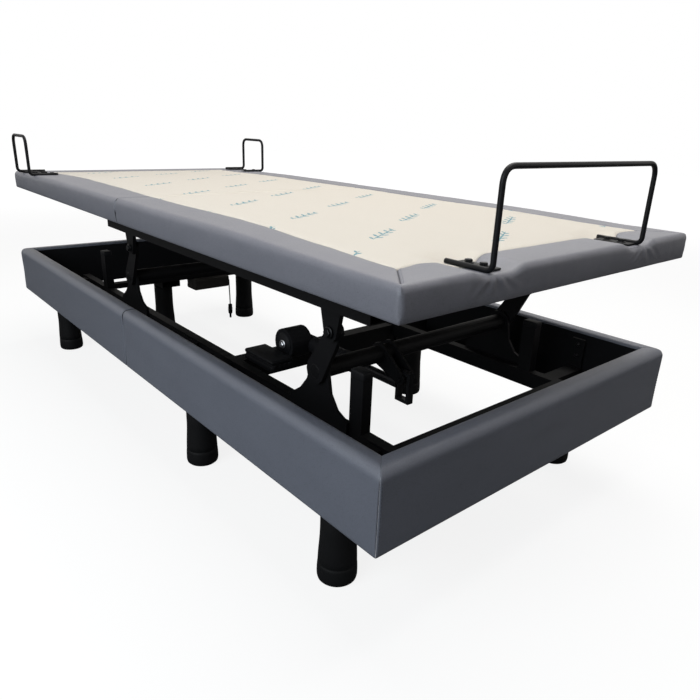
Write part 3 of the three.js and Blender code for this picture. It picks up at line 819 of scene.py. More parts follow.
def join_pieces(name: str, parts: Sequence[bpy.types.Object]) -> bpy.types.Object:
    """Joins mesh pieces into one object.

    Args:
        name: Name of the result.
        parts: The pieces, which are used up.

    Returns:
        The joined object.
    """
    points: list[Point] = []
    faces: list[list[int]] = []
    smooth: list[bool] = []
    for part in parts:
        start = len(points)
        points.extend(tuple(part.matrix_world @ v.co) for v in part.data.vertices)
        for face in part.data.polygons:
            faces.append([start + i for i in face.vertices])
            smooth.append(face.use_smooth)
    material = parts[0].data.materials[0]
    for part in parts:
        mesh = part.data
        bpy.data.objects.remove(part)
        bpy.data.meshes.remove(mesh)
    joined = make_piece(name, points, faces, material)
    for face, value in zip(joined.data.polygons, smooth):
        face.use_smooth = value
    return joined


def face_outwards(piece: bpy.types.Object) -> None:
    """Turns the faces of a closed piece outwards.

    Args:
        piece: The piece.
    """
    shape = bmesh.new()
    shape.from_mesh(piece.data)
    bmesh.ops.recalc_face_normals(shape, faces=shape.faces)
    shape.to_mesh(piece.data)
    shape.free()


def make_stitches(
    name: str, paths: Sequence[Sequence[Vector]], radius: float, material: bpy.types.Material
) -> bpy.types.Object:
    """Makes a row of stitches, each a short bent thread along its own path."""
    return join_pieces(name, [loft("stitch", rod_rings(path, radius, 6), material) for path in paths])


def darken_faces(
    piece: bpy.types.Object, dark_inner_and_shade: bpy.types.Material, chosen: Callable[[int, Vector], bool]
) -> None:
    """Gives some of a piece's faces a second finish, the near-black one that darkens inner faces and paints
    shade in seams and folds.

    Args:
        piece: The piece.
        dark_inner_and_shade: The second finish, near black.
        chosen: Whether a face gets it, from the face's number and centre.
    """
    piece.data.materials.append(dark_inner_and_shade)
    for number, face in enumerate(piece.data.polygons):
        face.material_index = int(chosen(number, face.center))


def settle(
    piece: bpy.types.Object, body: str, replaces: Sequence[str] = ()
) -> bpy.types.Object:
    """Puts a finished piece on its body.

    Args:
        piece: The piece.
        body: Body that it rides on.
        replaces: CAD nodes that it stands for.

    Returns:
        The piece.
    """
    face_outwards(piece)
    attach(piece, body)
    if replaces:
        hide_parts(*replaces)
    LOG.info("made %s on %s", piece.name, body)
    return piece


# ---------------------------------------------------------------- studio
@dataclass
class Maker:
    """A sub-assembly, made in the shared finishes."""

    finishes: Finishes

    def build(self) -> None:
        """Makes every piece of the sub-assembly."""
        raise NotImplementedError


@dataclass
class Studio(Maker):
    """Floor, lights and camera."""

    camera_place: Point = (-1.0401, -1.5798, 0.8495)
    yaw: float = 0.717
    pitch: float = 0.350
    roll: float = 0.039
    lens: float = 31.47
    floor_size: float = 30.0
    surround: float = 0.10
    gloss: float = 0.8

    def build(self) -> None:
        """Makes the whole studio."""
        self.make_camera()
        self.make_floor()
        self.make_lights()
        self.make_world()
        bpy.context.scene.view_settings.view_transform = "Standard"

    def make_camera(self) -> None:
        """Makes the camera and gives it to the scene."""
        across = Vector((math.cos(self.yaw), -math.sin(self.yaw), 0.0))
        level = math.cos(self.pitch)
        ahead = Vector((math.sin(self.yaw) * level, math.cos(self.yaw) * level, -math.sin(self.pitch)))
        up = across.cross(ahead)
        right = across * math.cos(self.roll) + up * math.sin(self.roll)
        top = up * math.cos(self.roll) - across * math.sin(self.roll)
        turn = Matrix((right, top, -ahead)).transposed()
        camera = bpy.data.objects.new("camera", bpy.data.cameras.new("camera"))
        camera.data.lens = self.lens
        camera.data.sensor_width = 36.0
        camera.data.clip_end = 100.0
        camera.matrix_world = Matrix.Translation(self.camera_place) @ turn.to_4x4()
        bpy.context.scene.collection.objects.link(camera)
        bpy.context.scene.camera = camera

    def make_floor(self) -> None:
        """Makes the pale floor."""
        half = self.floor_size / 2
        points = [(-half, -half, 0.0), (half, -half, 0.0), (half, half, 0.0), (-half, half, 0.0)]
        floor = make_piece("studio_floor", points, [(0, 1, 2, 3)], self.finishes.floor, smooth=False)

    def make_lights(self) -> None:
        """Makes the key light on the left, a top light and a weak fill at the foot."""
        self.make_area("key", (-2.8, -1.0, 1.6), (0.0, -0.5, 0.35), 2.2, 60.0, (0.86, 0.95, 1.0))
        self.make_area("top", (0.9, -0.1, 3.6), (0.0, 0.0, 0.5), 3.2, 118.0, (1.0, 0.985, 0.955))
        self.make_area("fill", (1.6, -4.2, 2.2), (0.0, 0.0, 0.4), 2.4, 1.0, (1.0, 1.0, 1.0))

    @staticmethod
    def make_area(
        name: str, place: Point, target: Point, size: float, power: float, colour: Colour
    ) -> None:
        """Makes one square soft light.

        Args:
            name: Name of the light.
            place: Where it is.
            target: What it looks at.
            size: Width of its square.
            power: Power in watts.
            colour: Its tint.
        """
        light = bpy.data.lights.new(name, "AREA")
        light.size = size
        light.energy = power
        light.color = colour
        lamp = bpy.data.objects.new(name, light)
        lamp.location = place
        lamp.rotation_euler = (Vector(target) - Vector(place)).to_track_quat("-Z", "Y").to_euler()
        bpy.context.scene.collection.objects.link(lamp)

    def make_world(self) -> None:
        """Makes a white surround that lights the base more softly than it shows."""
        world = bpy.data.worlds.new("studio")
        bpy.context.scene.world = world
        world.use_nodes = True
        tree = world.node_tree
        tree.nodes.clear()
        path = add_node(tree, "LightPath")
        seen = add_node(tree, "Background", {"Color": (1.0, 1.0, 1.0, 1.0), "Strength": 1.0})
        lit = add_node(tree, "Background", {"Color": (0.95, 0.97, 1.0, 1.0), "Strength": self.surround})
        gloss = add_node(tree, "Background", {"Color": (1.0, 0.98, 0.95, 1.0), "Strength": self.gloss})
        inner_links = {0: path.outputs["Is Glossy Ray"], 1: lit.outputs[0], 2: gloss.outputs[0]}
        inner = add_node(tree, "MixShader", inner_links)
        links = {0: path.outputs["Is Camera Ray"], 1: inner.outputs[0], 2: seen.outputs[0]}
        mixed = add_node(tree, "MixShader", links)
        output = tree.nodes.new("ShaderNodeOutputWorld")
        tree.links.new(mixed.outputs[0], output.inputs[0])


# ---------------------------------------------------------------- power lead
@dataclass
class PowerLead(Maker):
    """The short lead that hangs from the power supply, its strain relief and its connector."""

    radius: float = 0.0025
    tip_height: float = 0.019
    relief_points: int = 19
    route: tuple[Point, ...] = (
        (0.2544, 0.750, 0.2060), (0.2580, 0.750, 0.2060), (0.2615, 0.750, 0.2056), (0.2648, 0.750, 0.2042),
        (0.2676, 0.750, 0.2018), (0.2696, 0.750, 0.1986), (0.2708, 0.750, 0.1950), (0.2714, 0.750, 0.1900),
        (0.2716, 0.750, 0.1800), (0.2718, 0.750, 0.1680), (0.2722, 0.750, 0.1550), (0.2728, 0.750, 0.1420),
        (0.2734, 0.750, 0.1290), (0.2738, 0.750, 0.1160), (0.2740, 0.750, 0.1030), (0.2740, 0.750, 0.0904),
    )

    def build(self) -> None:
        """Makes the cord and what is on it."""
        relief = self.make_strain_relief()
        connector = self.make_connector()
        path = self.smooth_path()
        lead = loft("lead_cord", rod_rings(path, self.radius, 12), self.finishes.sheath)
        settle(lead, "underframe", ["power_lead"])

    def smooth_path(self, steps: int = 4) -> list[Vector]:
        """Returns a smooth path through the route's points.

        Args:
            steps: Points between two of the route's points.

        Returns:
            The points.
        """
        marks = [Vector(p) for p in self.route]
        path = []
        for i in range(len(marks) - 1):
            before, after = marks[max(i - 1, 0)], marks[min(i + 2, len(marks) - 1)]
            for k in range(steps):
                path.append(self.between(before, marks[i], marks[i + 1], after, k / steps))
        path.append(marks[-1])
        return path

    @staticmethod
    def between(before: Vector, start: Vector, end: Vector, after: Vector, t: float) -> Vector:
        """Returns the point a share t of the way along a smooth curve from start to end.

        Args:
            before: Point before the start.
            start: Where it starts.
            end: Where it ends.
            after: Point after the end.
            t: Share of the way.

        Returns:
            The point.
        """
        turn_in, turn_out = (end - before) * 0.5, (after - start) * 0.5
        cube, square = t * t * t, t * t
        return (
            start * (2 * cube - 3 * square + 1) + turn_in * (cube - 2 * square + t)
            + end * (3 * square - 2 * cube) + turn_out * (cube - square)
        )

    def make_strain_relief(self) -> bpy.types.Object:
        """Makes the ribbed sleeve round the start of the cord.

        Returns:
            The new object.
        """
        path = self.smooth_path(3)[:self.relief_points]

        def size(i: int) -> float:
            """Radius of the sleeve at a point of the path."""
            share = i / (len(path) - 1)
            rib = 0.0005 if i % 2 else 0.0
            return self.radius + 0.0019 * (1 - share) + 0.0004 + rib

        sleeve = loft("lead_strain_relief", rod_rings(path, size, 14), self.finishes.rubber)
        return settle(sleeve, "underframe")

    def make_connector(self) -> bpy.types.Object:
        """Makes the connector's grip, collar and socket tip.

        Returns:
            The new object.
        """
        low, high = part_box("lead_connector")
        x, y = (low.x + high.x) / 2, (low.y + high.y) / 2
        split = low.z + self.tip_height
        proud = 0.0006
        rubber = self.finishes.rubber
        parts = [rounded_block("grip", (low.x, low.y, split), tuple(high), 0.0035, rubber)]
        for z in (split + 0.010, split + 0.015, split + 0.020, split + 0.025):
            corner_low = (low.x - proud, low.y - proud, z)
            corner_high = (high.x + proud, high.y + proud, z + 0.002)
            parts.append(rounded_block("rib", corner_low, corner_high, 0.0009, rubber, 2))
        tip = [(0.0034, 0.0), (0.0045, 0.001), (0.0045, 0.018), (0.0062, 0.0185), (0.0062, 0.0205)]
        parts.append(lathe("tip", tip, (x, y, low.z), rubber, sides=24))
        connector = join_pieces("lead_connector_body", parts)
        return settle(connector, "underframe", ["lead_connector"])


# ---------------------------------------------------------------- upholstered rail box
def clamped(value: float) -> float:
    """Returns a value held between 0 and 1."""
    return min(1.0, max(0.0, value))


def fullness(distance: float, width: float = 0.007) -> float:
    """Returns 0 at a seam and 1 where the padding is full."""
    return math.sin(clamped(distance / width) * math.pi / 2) ** 0.7


def rounded_section(low: Pair, high: Pair, rounds: Sequence[float], gap: float = 0.004) -> list[Pair]:
    """Points round an upright section, evenly enough spaced to take a soft shape.

    Args:
        low: Lowest corner of the section.
        high: Highest corner of the section.
        rounds: Radii of its four corners, from the low corner towards the low right one and on.
        gap: Spacing of the points.

    Returns:
        The points, anticlockwise from just after the low corner.
    """
    corners = [low, (high[0], low[1]), high, (low[0], high[1])]
    turns = (math.pi, 1.5 * math.pi, 0.0, 0.5 * math.pi)
    inward = ((1, 1), (-1, 1), (-1, -1), (1, -1))
    points: list[Pair] = []
    for i, (corner, radius, turn, (dx, dy)) in enumerate(zip(corners, rounds, turns, inward)):
        centre = (corner[0] + dx * radius, corner[1] + dy * radius)
        steps = max(2, int(radius * 1.6 / gap))
        for k in range(steps + 1):
            angle = turn + 0.5 * math.pi * k / steps
            points.append((centre[0] + radius * math.cos(angle), centre[1] + radius * math.sin(angle)))
        axis = i % 2
        following = (i + 1) % 4
        here = points[-1]
        goal = corners[following][axis] + inward[following][axis] * rounds[following]
        count = max(1, int(abs(goal - here[axis]) / gap))
        for k in range(1, count):
            moved = list(here)
            moved[axis] += (goal - here[axis]) * k / count
            points.append(tuple(moved))
    return points


@dataclass
class RailBox(Maker):
    """The six padded boards round the underframe, with their seams."""

    puff: float = 0.0022
    seam_depth: float = 0.0052
    corner_depth: float = 0.0010
    seam_width: float = 0.007
    wave: float = 0.0011
    step: float = 0.010
    side_round: float = 0.020
    inner_round: float = 0.009
    low_round: float = 0.004
    face_depth: float = 0.012
    near: tuple[float, ...] = (0.0, 0.0020, 0.003, 0.005, 0.0075, 0.012)
    stitch_pitch: float = 0.0068

    def build(self) -> None:
        """Makes every board and the stitches beside the corner seams."""
        for side in LEFT_AND_RIGHT:
            for end in ("foot", "head"):
                self.make_side_board(side, end)
        for end in ("foot", "head"):
            self.make_end_board(end)
            for side in LEFT_AND_RIGHT:
                self.make_corner_stitches(end, side)

    def make_side_board(self, side: int, end: str) -> None:
        """Makes one side board, mitred at its outer end and square at the middle seam.

        Args:
            side: -1 for left, 1 for right.
            end: foot or head.
        """
        node = f"side_rail_{end}_{side_name(side)}"
        low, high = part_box(node)
        outer = low.x if side < 0 else high.x
        section = self.section(high.x - low.x, low.z, high.z)
        mitres = (1.0, 0.0) if end == "foot" else (0.0, 1.0)
        rings = self.sweep(section, low.y, high.y, mitres, lambda u, at, z: (outer - side * u, at, z))
        sides = len(section)
        # The strip of faces at the square end, in the middle seam, gets painted shade.
        first = sides * (len(rings) - 2) if end == "foot" else 0
        self.finish_board(node, rings, range(first, first + sides))

    def make_end_board(self, end: str) -> None:
        """Makes one end board, mitred at both ends.

        Args:
            end: foot or head.
        """
        node = f"end_rail_{end}"
        low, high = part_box(node)
        sign = -1 if end == "foot" else 1
        outer = low.y if sign < 0 else high.y
        section = self.section(high.y - low.y, low.z, high.z)
        rings = self.sweep(section, low.x, high.x, (1.0, 1.0), lambda u, at, z: (at, outer - sign * u, z))
        self.finish_board(node, rings, range(0))

    def section(self, thick: float, low_z: float, high_z: float) -> list[Pair]:
        """Returns the section of a board, as depth from its outer face and height."""
        rounds = (self.low_round, self.low_round, self.inner_round, self.side_round)
        return rounded_section((0.0, low_z), (thick, high_z), rounds)

    def sweep(
        self, section: Sequence[Pair], start: float, stop: float, mitres: Pair,
        place: Callable[[float, float, float], Point],
    ) -> list[list[Point]]:
        """Rings of a board: the section swept along it, puffed between the seams and cut at the mitres.

        Args:
            section: Points as depth from the outer face, and height.
            start: Where the outer face starts.
            stop: Where the outer face stops.
            mitres: 1 for a mitre and 0 for a square end, at the start and at the stop.
            place: Turns depth, distance along and height into a point.

        Returns:
            The rings.
        """
        low_z = min(v for _, v in section)
        high_z = max(v for _, v in section)
        rings = []
        for along in self.stations(start, stop):
            share = (along - start) / (stop - start)
            full = fullness(min(along - start, stop - along), self.seam_width)
            depth = self.corner_depth if mitres[int(share >= 0.5)] else self.seam_depth
            ring = []
            for u, v in section:
                height = (v - low_z) / (high_z - low_z)
                face = max(0.0, 1.0 - u / self.face_depth) * math.sin(math.pi * clamped(height)) ** 0.5
                crown = max(0.0, (v - (high_z - 0.004)) / 0.004)
                rumple = noise.noise(Vector((along * 7.0, v * 16.0, u * 20.0 + start)))
                out = face * (self.puff * (full - 1.0) + self.wave * rumple * full)
                out -= face * depth * (1.0 - full)
                drop = crown * depth * 0.6 * (1.0 - full)
                first, last = start + mitres[0] * (u - out), stop - mitres[1] * (u - out)
                ring.append(place(u - out, first + (last - first) * share, v - drop))
            rings.append(ring)
        return rings

    def stations(self, start: float, stop: float) -> list[float]:
        """Returns distances along a board, closer together by its ends.

        Args:
            start: Where it starts.
            stop: Where it stops.

        Returns:
            The distances.
        """
        low, high = start + self.near[-1], stop - self.near[-1]
        count = int((high - low) / self.step)
        marks = [start + d for d in self.near]
        marks += [low + (high - low) * k / count for k in range(1, count)]
        return marks + [stop - d for d in reversed(self.near)]

    def finish_board(self, node: str, rings: list[list[Point]], dark: range) -> None:
        """Turns rings into a board on the underframe, with a near-black inner face and painted shade in its
        middle seam.

        Args:
            node: CAD node that the board stands for.
            rings: Its rings.
            dark: Numbers of the faces that lie in the shadow of the middle seam.
        """
        board = loft(node + "_padding", rings, self.finishes.leather)
        low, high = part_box(node)
        axis = 0 if high.y - low.y > high.x - low.x else 1
        inner = min(low[axis], high[axis], key=abs)
        edge = high.z - self.inner_round * 0.8

        def shaded(number: int, centre: Vector) -> bool:
            """Whether a face lies in the middle seam, or on the inner side below the padded edge."""
            return number in dark or (abs(centre[axis] - inner) < 0.0015 and centre.z < edge)

        # Seam faces get the near-black finish as painted shade; the inner side below the padded edge gets
        # it as a dark face.
        darken_faces(board, self.finishes.dark_inner_and_shade, shaded)
        settle(board, "underframe", [node])

    def make_corner_stitches(self, end: str, side: int) -> None:
        """Makes the row of stitches down one corner seam.

        Args:
            end: foot or head.
            side: -1 for left, 1 for right.
        """
        low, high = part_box(f"end_rail_{end}")
        sign = -1 if end == "foot" else 1
        outer_y = low.y if sign < 0 else high.y
        outer_x = low.x if side < 0 else high.x
        x = outer_x - side * 0.0056
        paths = []
        z = low.z + 0.012
        while z < high.z - 0.022:
            paths.append([Vector((x, outer_y - sign * sunk, z + rise))
                          for sunk, rise in ((0.0004, 0.0), (0.0001, 0.0022), (0.0004, 0.0044))])
            z += self.stitch_pitch
        name = f"corner_stitches_{end}_{side_name(side)}"
        settle(make_stitches(name, paths, 0.0005, self.finishes.thread), "underframe")


# ---------------------------------------------------------------- deck cover
def joint_place(name: str) -> Vector:
    """Returns the place of a hinge, by name."""
    rows = frame["record"]["behaviour"]["joints"]
    return Vector(next(row["pos_m"] for row in rows if row["name"] == name))


def smooth_step(value: float, low: float, high: float) -> float:
    """Returns a smooth 0 to 1 as value goes from low to high."""
    share = clamped((value - low) / (high - low))
    return share * share * (3.0 - 2.0 * share)


def through(marks: Sequence[Pair], at: float) -> float:
    """Returns the height of the smooth line through marks at one place.

    Args:
        marks: Places and heights, in order.
        at: The place.

    Returns:
        The height.
    """
    for (x0, y0), (x1, y1) in zip(marks, marks[1:]):
        if at <= x1:
            return y0 + (y1 - y0) * smooth_step(at, x0, x1)
    return marks[-1][1]


class Half(Enum):
    """The two halves of the deck cover, with the sign of their end."""

    FOOT = -1
    HEAD = 1

    @property
    def label(self) -> str:
        """Returns the half's word in the names of its pieces."""
        return self.name.lower()

    @property
    def bodies(self) -> tuple[str, str]:
        """Returns the bodies on the near and the far side of this half's hinge."""
        return ("deck_frame", "back_section") if self is Half.HEAD else ("thigh_section", "calf_section")

    @property
    def pads(self) -> list[str]:
        """Returns the CAD pads that this half's top stands for."""
        return ["seat_pad", "back_pad"] if self is Half.HEAD else ["thigh_pad", "calf_pad"]


@dataclass
class DeckPlan:
    """Outline and top of the deck: where the border meets the cream top and how high each point lies."""

    outer_x: float
    outer_y: float
    top: float
    bottom: float
    board_top: float
    crown: float = 0.006
    seam_marks: tuple[Pair, ...] = (
        (-0.95, 0.386), (-0.72, 0.374), (-0.40, 0.359), (-0.10, 0.361), (0.02, 0.360), (0.30, 0.348),
        (0.70, 0.338), (0.88, 0.346), (1.00, 0.366),
    )
    end_seam: float = 0.921
    plate_x: float = 0.245
    pressed_x: Pair = (0.212, 0.258)
    pressed_y: float = -0.918
    pressed: float = 0.011

    def side_seam(self, y: float) -> float:
        """Returns how far from the centre line the side seam runs."""
        return through(self.seam_marks, y)

    def end_line(self, x: float, half: Half) -> float:
        """Returns where the end seam runs, as a y value. At the foot it dips towards each retainer plate.

        Args:
            x: Place across.
            half: The half of the cover.

        Returns:
            The y value.
        """
        if half is Half.HEAD:
            return self.end_seam + 0.008 * smooth_step(abs(x), 0.25, 0.34)
        dip = 0.030 * math.exp(-(((abs(x) - self.plate_x) / 0.045) ** 2))
        return -(self.end_seam + dip + 0.010 * smooth_step(abs(x), 0.33, 0.38))

    def sink(self, x: float, y: float) -> float:
        """Returns how far the plates of the foot retainer press the padding down at a point."""
        aside = max(0.0, self.pressed_x[0] - abs(x), abs(x) - self.pressed_x[1])
        away = math.hypot(aside, max(0.0, y - self.pressed_y))
        return self.pressed * (1.0 - smooth_step(away, 0.003, 0.050))

    def crease(self, x: float, depth: float) -> float:
        """Returns the folds that fan out under a foot plate, on the deck's foot face at a depth."""
        fan = (abs(x) - self.plate_x - 0.004) / (0.014 - depth)
        fade = math.exp(-((fan / 1.5) ** 2)) * (1.0 - smooth_step(-depth, 0.020, 0.052))
        return 0.0014 * math.sin(fan * 8.0) * fade

    def height(self, x: float, y: float) -> float:
        """Returns the height of the padded top at a point, apart from its seams.

        Args:
            x: Place across.
            y: Place along the bed.

        Returns:
            The height.
        """
        end = min(self.outer_y - abs(y), 0.5)
        rise = self.crown * smooth_step(end, 0.11, 0.5)
        pillow = 0.0018 * (1 - (x / self.outer_x) ** 2) * smooth_step(end, 0.08, 0.2)
        ripple = 0.0009 * noise.noise(Vector((x * 9.0, y * 6.0, 0.3))) * smooth_step(end, 0.09, 0.16)
        fine = 0.0004 * noise.noise(Vector((x * 30.0, y * 22.0, 5.0))) * smooth_step(end, 0.09, 0.14)
        return self.top + rise + pillow + ripple + fine - self.sink(x, y)


def seam_drop(distance: float, depth: float = 0.0042, reach: float = 0.013) -> float:
    """Returns how far a padded face drops at a distance from its seam."""
    share = clamped(distance / reach)
    return depth * (1.0 - math.sqrt(1.0 - (1.0 - share) ** 2))


@dataclass
class DeckCover(Maker):
    """The padded cover of the whole deck, in two halves that meet at the thigh hinge.

    Each half has a cream top panel inside a grey leather border of three mitred strips. A narrow
    wedge closes the fold between the two halves at the thigh hinge.
    """

    seam_x: float = 0.36
    rim: float = 0.018
    hem: float = 0.004
    edge_round: float = 0.013
    puff: float = 0.0016
    seam_depth: float = 0.0034
    step: float = 0.012
    lift_under_fold: float = 0.011
    bend_reach: float = 0.09
    slack: float = 0.0003
    lean: float = math.radians(16.0)
    crown_room: float = 0.009
    fold_shares: tuple[float, ...] = (0.0, 0.12, 0.28, 0.42, 0.5, 0.58, 0.72, 0.88, 1.0)
    stitches: int = 13
    plan: DeckPlan = field(init=False)
    hinge: Vector = field(init=False)
    back: Vector = field(init=False)
    calf: Vector = field(init=False)

    def __post_init__(self) -> None:
        """Reads the deck's outline and hinges from the frame."""
        low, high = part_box("calf_pad")
        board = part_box("calf_board")[1].z
        self.plan = DeckPlan(high.x, -low.y, high.z, low.z, board + 0.0008)
        self.hinge = joint_place("thigh_tilt")
        self.back = joint_place("back_tilt")
        self.calf = joint_place("calf_tilt")

    def build(self) -> None:
        """Makes both halves and the wedge between them."""
        for half in Half:
            self.bend(self.make_panel(half), half, "top_fabric", half.pads)
            for side in LEFT_AND_RIGHT:
                self.bend(self.make_side_strip(half, side), half, "grey_leather", [])
            self.make_end_strip(half)
            for side in LEFT_AND_RIGHT:
                self.make_mitre_stitches(half, side)
        self.make_wedge()

    def bend(self, piece: bpy.types.Object, half: Half, slot: str, nodes: list[str]) -> None:
        """Turns a piece's faces outwards, fixes it in place in the world and hides the CAD nodes that it
        stands for.

        Args:
            piece: The piece.
            half: The half that it belongs to.
            slot: Not used.
            nodes: CAD nodes that it stands for.
        """
        face_outwards(piece)
        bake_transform(piece)
        if nodes:
            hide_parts(*nodes)
        LOG.info("made %s across %s and %s", piece.name, *half.bodies)

    def fold_end(self, half: Half, z: float) -> float:
        """Returns the y of a half's face beside the fold, at a height."""
        rise = max(0.0, z - self.hinge.z)
        away = self.slack + (rise + min(rise, self.crown_room)) * math.tan(self.lean)
        return self.hinge.y + half.value * away

    def under(self, y: float) -> float:
        """Returns the height of the cover's underside, which rises over the fold of the back hinge."""
        near = 1.0 - smooth_step(abs(y - self.back.y), 0.055, 0.085)
        return self.plan.board_top + self.lift_under_fold * near

    def steps(self, start: float, stop: float, pitch: float | None = None) -> list[float]:
        """Returns shares from 0 to 1 for a run, closer together near both ends.

        Args:
            start: Where it starts.
            stop: Where it stops.
            pitch: Widest spacing, or None for the usual one.

        Returns:
            The shares.
        """
        length = abs(stop - start)
        near = [0.0, 0.0015, 0.004, 0.008, 0.013]
        count = max(2, int((length - 2 * near[-1]) / (pitch or self.step)))
        inner = [near[-1] + (length - 2 * near[-1]) * k / count for k in range(1, count)]
        marks = near + inner + [length - d for d in reversed(near)]
        return [m / length for m in marks]

    def make_panel(self, half: Half) -> bpy.types.Object:
        """Makes the cream top of one half: a padded slab that dips to its seams.

        Args:
            half: The half of the cover.

        Returns:
            The new object.
        """
        plan = self.plan
        near_end = plan.end_seam * half.value
        across = self.steps(-self.seam_x, self.seam_x)
        along = self.steps(near_end, self.hinge.y)
        tops, bottoms = [], []
        for v in along:
            flat_y = near_end + (self.fold_end(half, plan.top) - near_end) * v
            for u in across:
                x = (2 * u - 1) * plan.side_seam(flat_y)
                shift = (plan.end_line(x, half) - near_end) * (1.0 - smooth_step(v, 0.0, 0.17))
                y = flat_y + shift
                to_side = plan.side_seam(y) - abs(x)
                to_end = abs(plan.end_line(x, half)) - abs(y) if y * half.value > 0 else 1.0
                drop = max(seam_drop(to_side), seam_drop(to_end))
                tops.append((x, y, plan.height(x, y) - drop + self.pucker(x, y, min(to_side, to_end))))
                bottoms.append((x, y, self.under(y)))
        return self.closed_slab(f"top_panel_{half.label}", tops, bottoms, len(across), self.finishes.knit)

    @staticmethod
    def pucker(x: float, y: float, distance: float) -> float:
        """Returns the small gathers that a stretched knit has beside its seam."""
        fade = math.exp(-distance / 0.016)
        return 0.0007 * fade * noise.noise(Vector((x * 85.0, y * 85.0, 2.0)))

    @staticmethod
    def closed_slab(
        name: str, tops: list[Point], bottoms: list[Point], columns: int, material: bpy.types.Material
    ) -> bpy.types.Object:
        """Makes a closed piece from a grid of top points and one of bottom points.

        Args:
            name: Name of the piece.
            tops: Top points, row by row.
            bottoms: Bottom points, row by row.
            columns: Number of points in a row.
            material: Its finish.

        Returns:
            The new object.
        """
        shift = len(tops)
        rows = shift // columns
        faces = grid_faces(rows, columns)
        faces += [[shift + i for i in face[::-1]] for face in grid_faces(rows, columns)]
        last = shift - columns
        loop = [*range(columns), *range(2 * columns - 1, shift, columns)]
        loop += [*range(last + columns - 2, last - 1, -1), *range(last - columns, 0, -columns)]
        for a, b in zip(loop, loop[1:] + loop[:1]):
            faces.append([b, a, shift + a, shift + b])
        return make_piece(name, tops + bottoms, faces, material)

    def strip_section(self) -> list[tuple[float, float | None]]:
        """Section of a border strip, as share of the way out from the seam and height from the top.

        The side wraps down to the deck's bottom edge, and the inside runs back under the top.

        Returns:
            Share and height of each point. None for a height means the cover's underside.
        """
        plan = self.plan
        width = plan.outer_x - self.seam_x
        r, rim, hem = self.edge_round / width, self.rim / width, self.hem / width
        points = [(k / 9 * (1 - r), 0.0) for k in range(10)]
        points[1:1] = [(0.015, 0.0), (0.04, 0.0)]
        for k in range(1, 7):
            angle = math.pi / 2 * k / 6
            points.append((1 - r + r * math.sin(angle), -self.edge_round * (1 - math.cos(angle))))
        depth = plan.top - plan.bottom
        side = depth - self.edge_round - self.hem
        points += [(1.0, -self.edge_round - side * k / 7) for k in range(1, 8)]
        points += [(1.0 - 0.3 * hem, 0.3 * self.hem - depth), (1.0 - hem, -depth), (1.0 - rim, -depth)]
        points += [(1.0 - rim, -0.034), (1.0 - rim, None), (0.5, None), (0.0, None)]
        return points

    def strip_ring(
        self, section: list[tuple[float, float | None]], locate: Callable[[float, float], Pair],
        outward: Pair, full: float,
    ) -> list[Point]:
        """One ring of a border strip.

        Args:
            section: The strip's section.
            locate: Turns a share outwards and a height into x and y.
            outward: Direction out of the deck's side.
            full: How full the padding is, from 0 at a seam to 1.

        Returns:
            The ring's points.
        """
        plan = self.plan
        ring = []
        for share, depth in section:
            x, y = locate(share, plan.board_top if depth is None else plan.top + depth)
            if depth is None:
                ring.append((x, y, self.under(y)))
                continue
            crest = plan.height(x, y) - plan.top
            fade = 1.0 + depth / (plan.top - plan.bottom)
            out_of_seam = share * (plan.outer_x - self.seam_x)
            drop = seam_drop(out_of_seam, reach=0.010) if depth == 0.0 else 0.0
            outer = share > 0.97
            puff = self.puff * math.sin(math.pi * clamped(fade)) if outer else 0.0
            rumple = noise.noise(Vector((x * 11.0, y * 11.0, depth * 26.0)))
            crease = 0.0006 * noise.noise(Vector((x * 46.0, y * 46.0, depth * 12.0)))
            sunk = self.seam_depth * (1 - full)
            out = (puff + 0.0011 * rumple + crease) * full - sunk if outer else 0.0
            lift = 0.0 if outer else (0.0007 * rumple + 0.6 * crease) * full * (1 - share) - sunk
            if outer and outward[1] < 0.0:
                out += plan.crease(x, depth)
            if outer and depth <= -(plan.top - plan.bottom) + 0.005:
                out = min(out, 0.0)
            z = plan.top + depth + crest * fade - drop + (lift if depth == 0.0 else 0.0)
            ring.append((x + outward[0] * out, y + outward[1] * out, z))
        return ring

    def make_side_strip(self, half: Half, side: int) -> bpy.types.Object:
        """Makes one side's border strip of one half, from its mitre to the fold.

        Args:
            half: The half of the cover.
            side: -1 for left, 1 for right.

        Returns:
            The new object.
        """
        plan = self.plan
        section = self.strip_section()
        sign = half.value

        def mitre(share: float) -> float:
            """Where the mitre line lies, as y, at a share outwards."""
            inner = plan.end_line(plan.side_seam(sign * plan.end_seam), half)
            return inner + (sign * plan.outer_y - inner) * share

        rings = []
        for v in self.steps(plan.outer_y, self.hinge.y):
            def locate(share: float, z: float, v: float = v) -> Pair:
                """Turns a share outwards and a height into x and y.

                Args:
                    share: Share outwards.
                    z: Height.
                    v: Share along the strip.

                Returns:
                    x and y.
                """
                start = mitre(min(1.0, share))
                y = start + (self.fold_end(half, z) - start) * v
                seam = plan.side_seam(y)
                return side * (seam + (plan.outer_x - seam) * share), y

            full = fullness(v * (plan.outer_y - abs(self.hinge.y)))
            rings.append(self.strip_ring(section, locate, (side, 0.0), full))
        strip = loft(f"border_{half.label}_{side_name(side)}", rings, self.finishes.border)
        # The faces at the fold, below the hinge, get the near-black finish as painted shade.
        last = len(section) * (len(rings) - 2)
        edge = self.hinge.z + 0.008
        darken_faces(strip, self.finishes.dark_inner_and_shade, lambda number, at: number >= last and at.z < edge)
        return strip

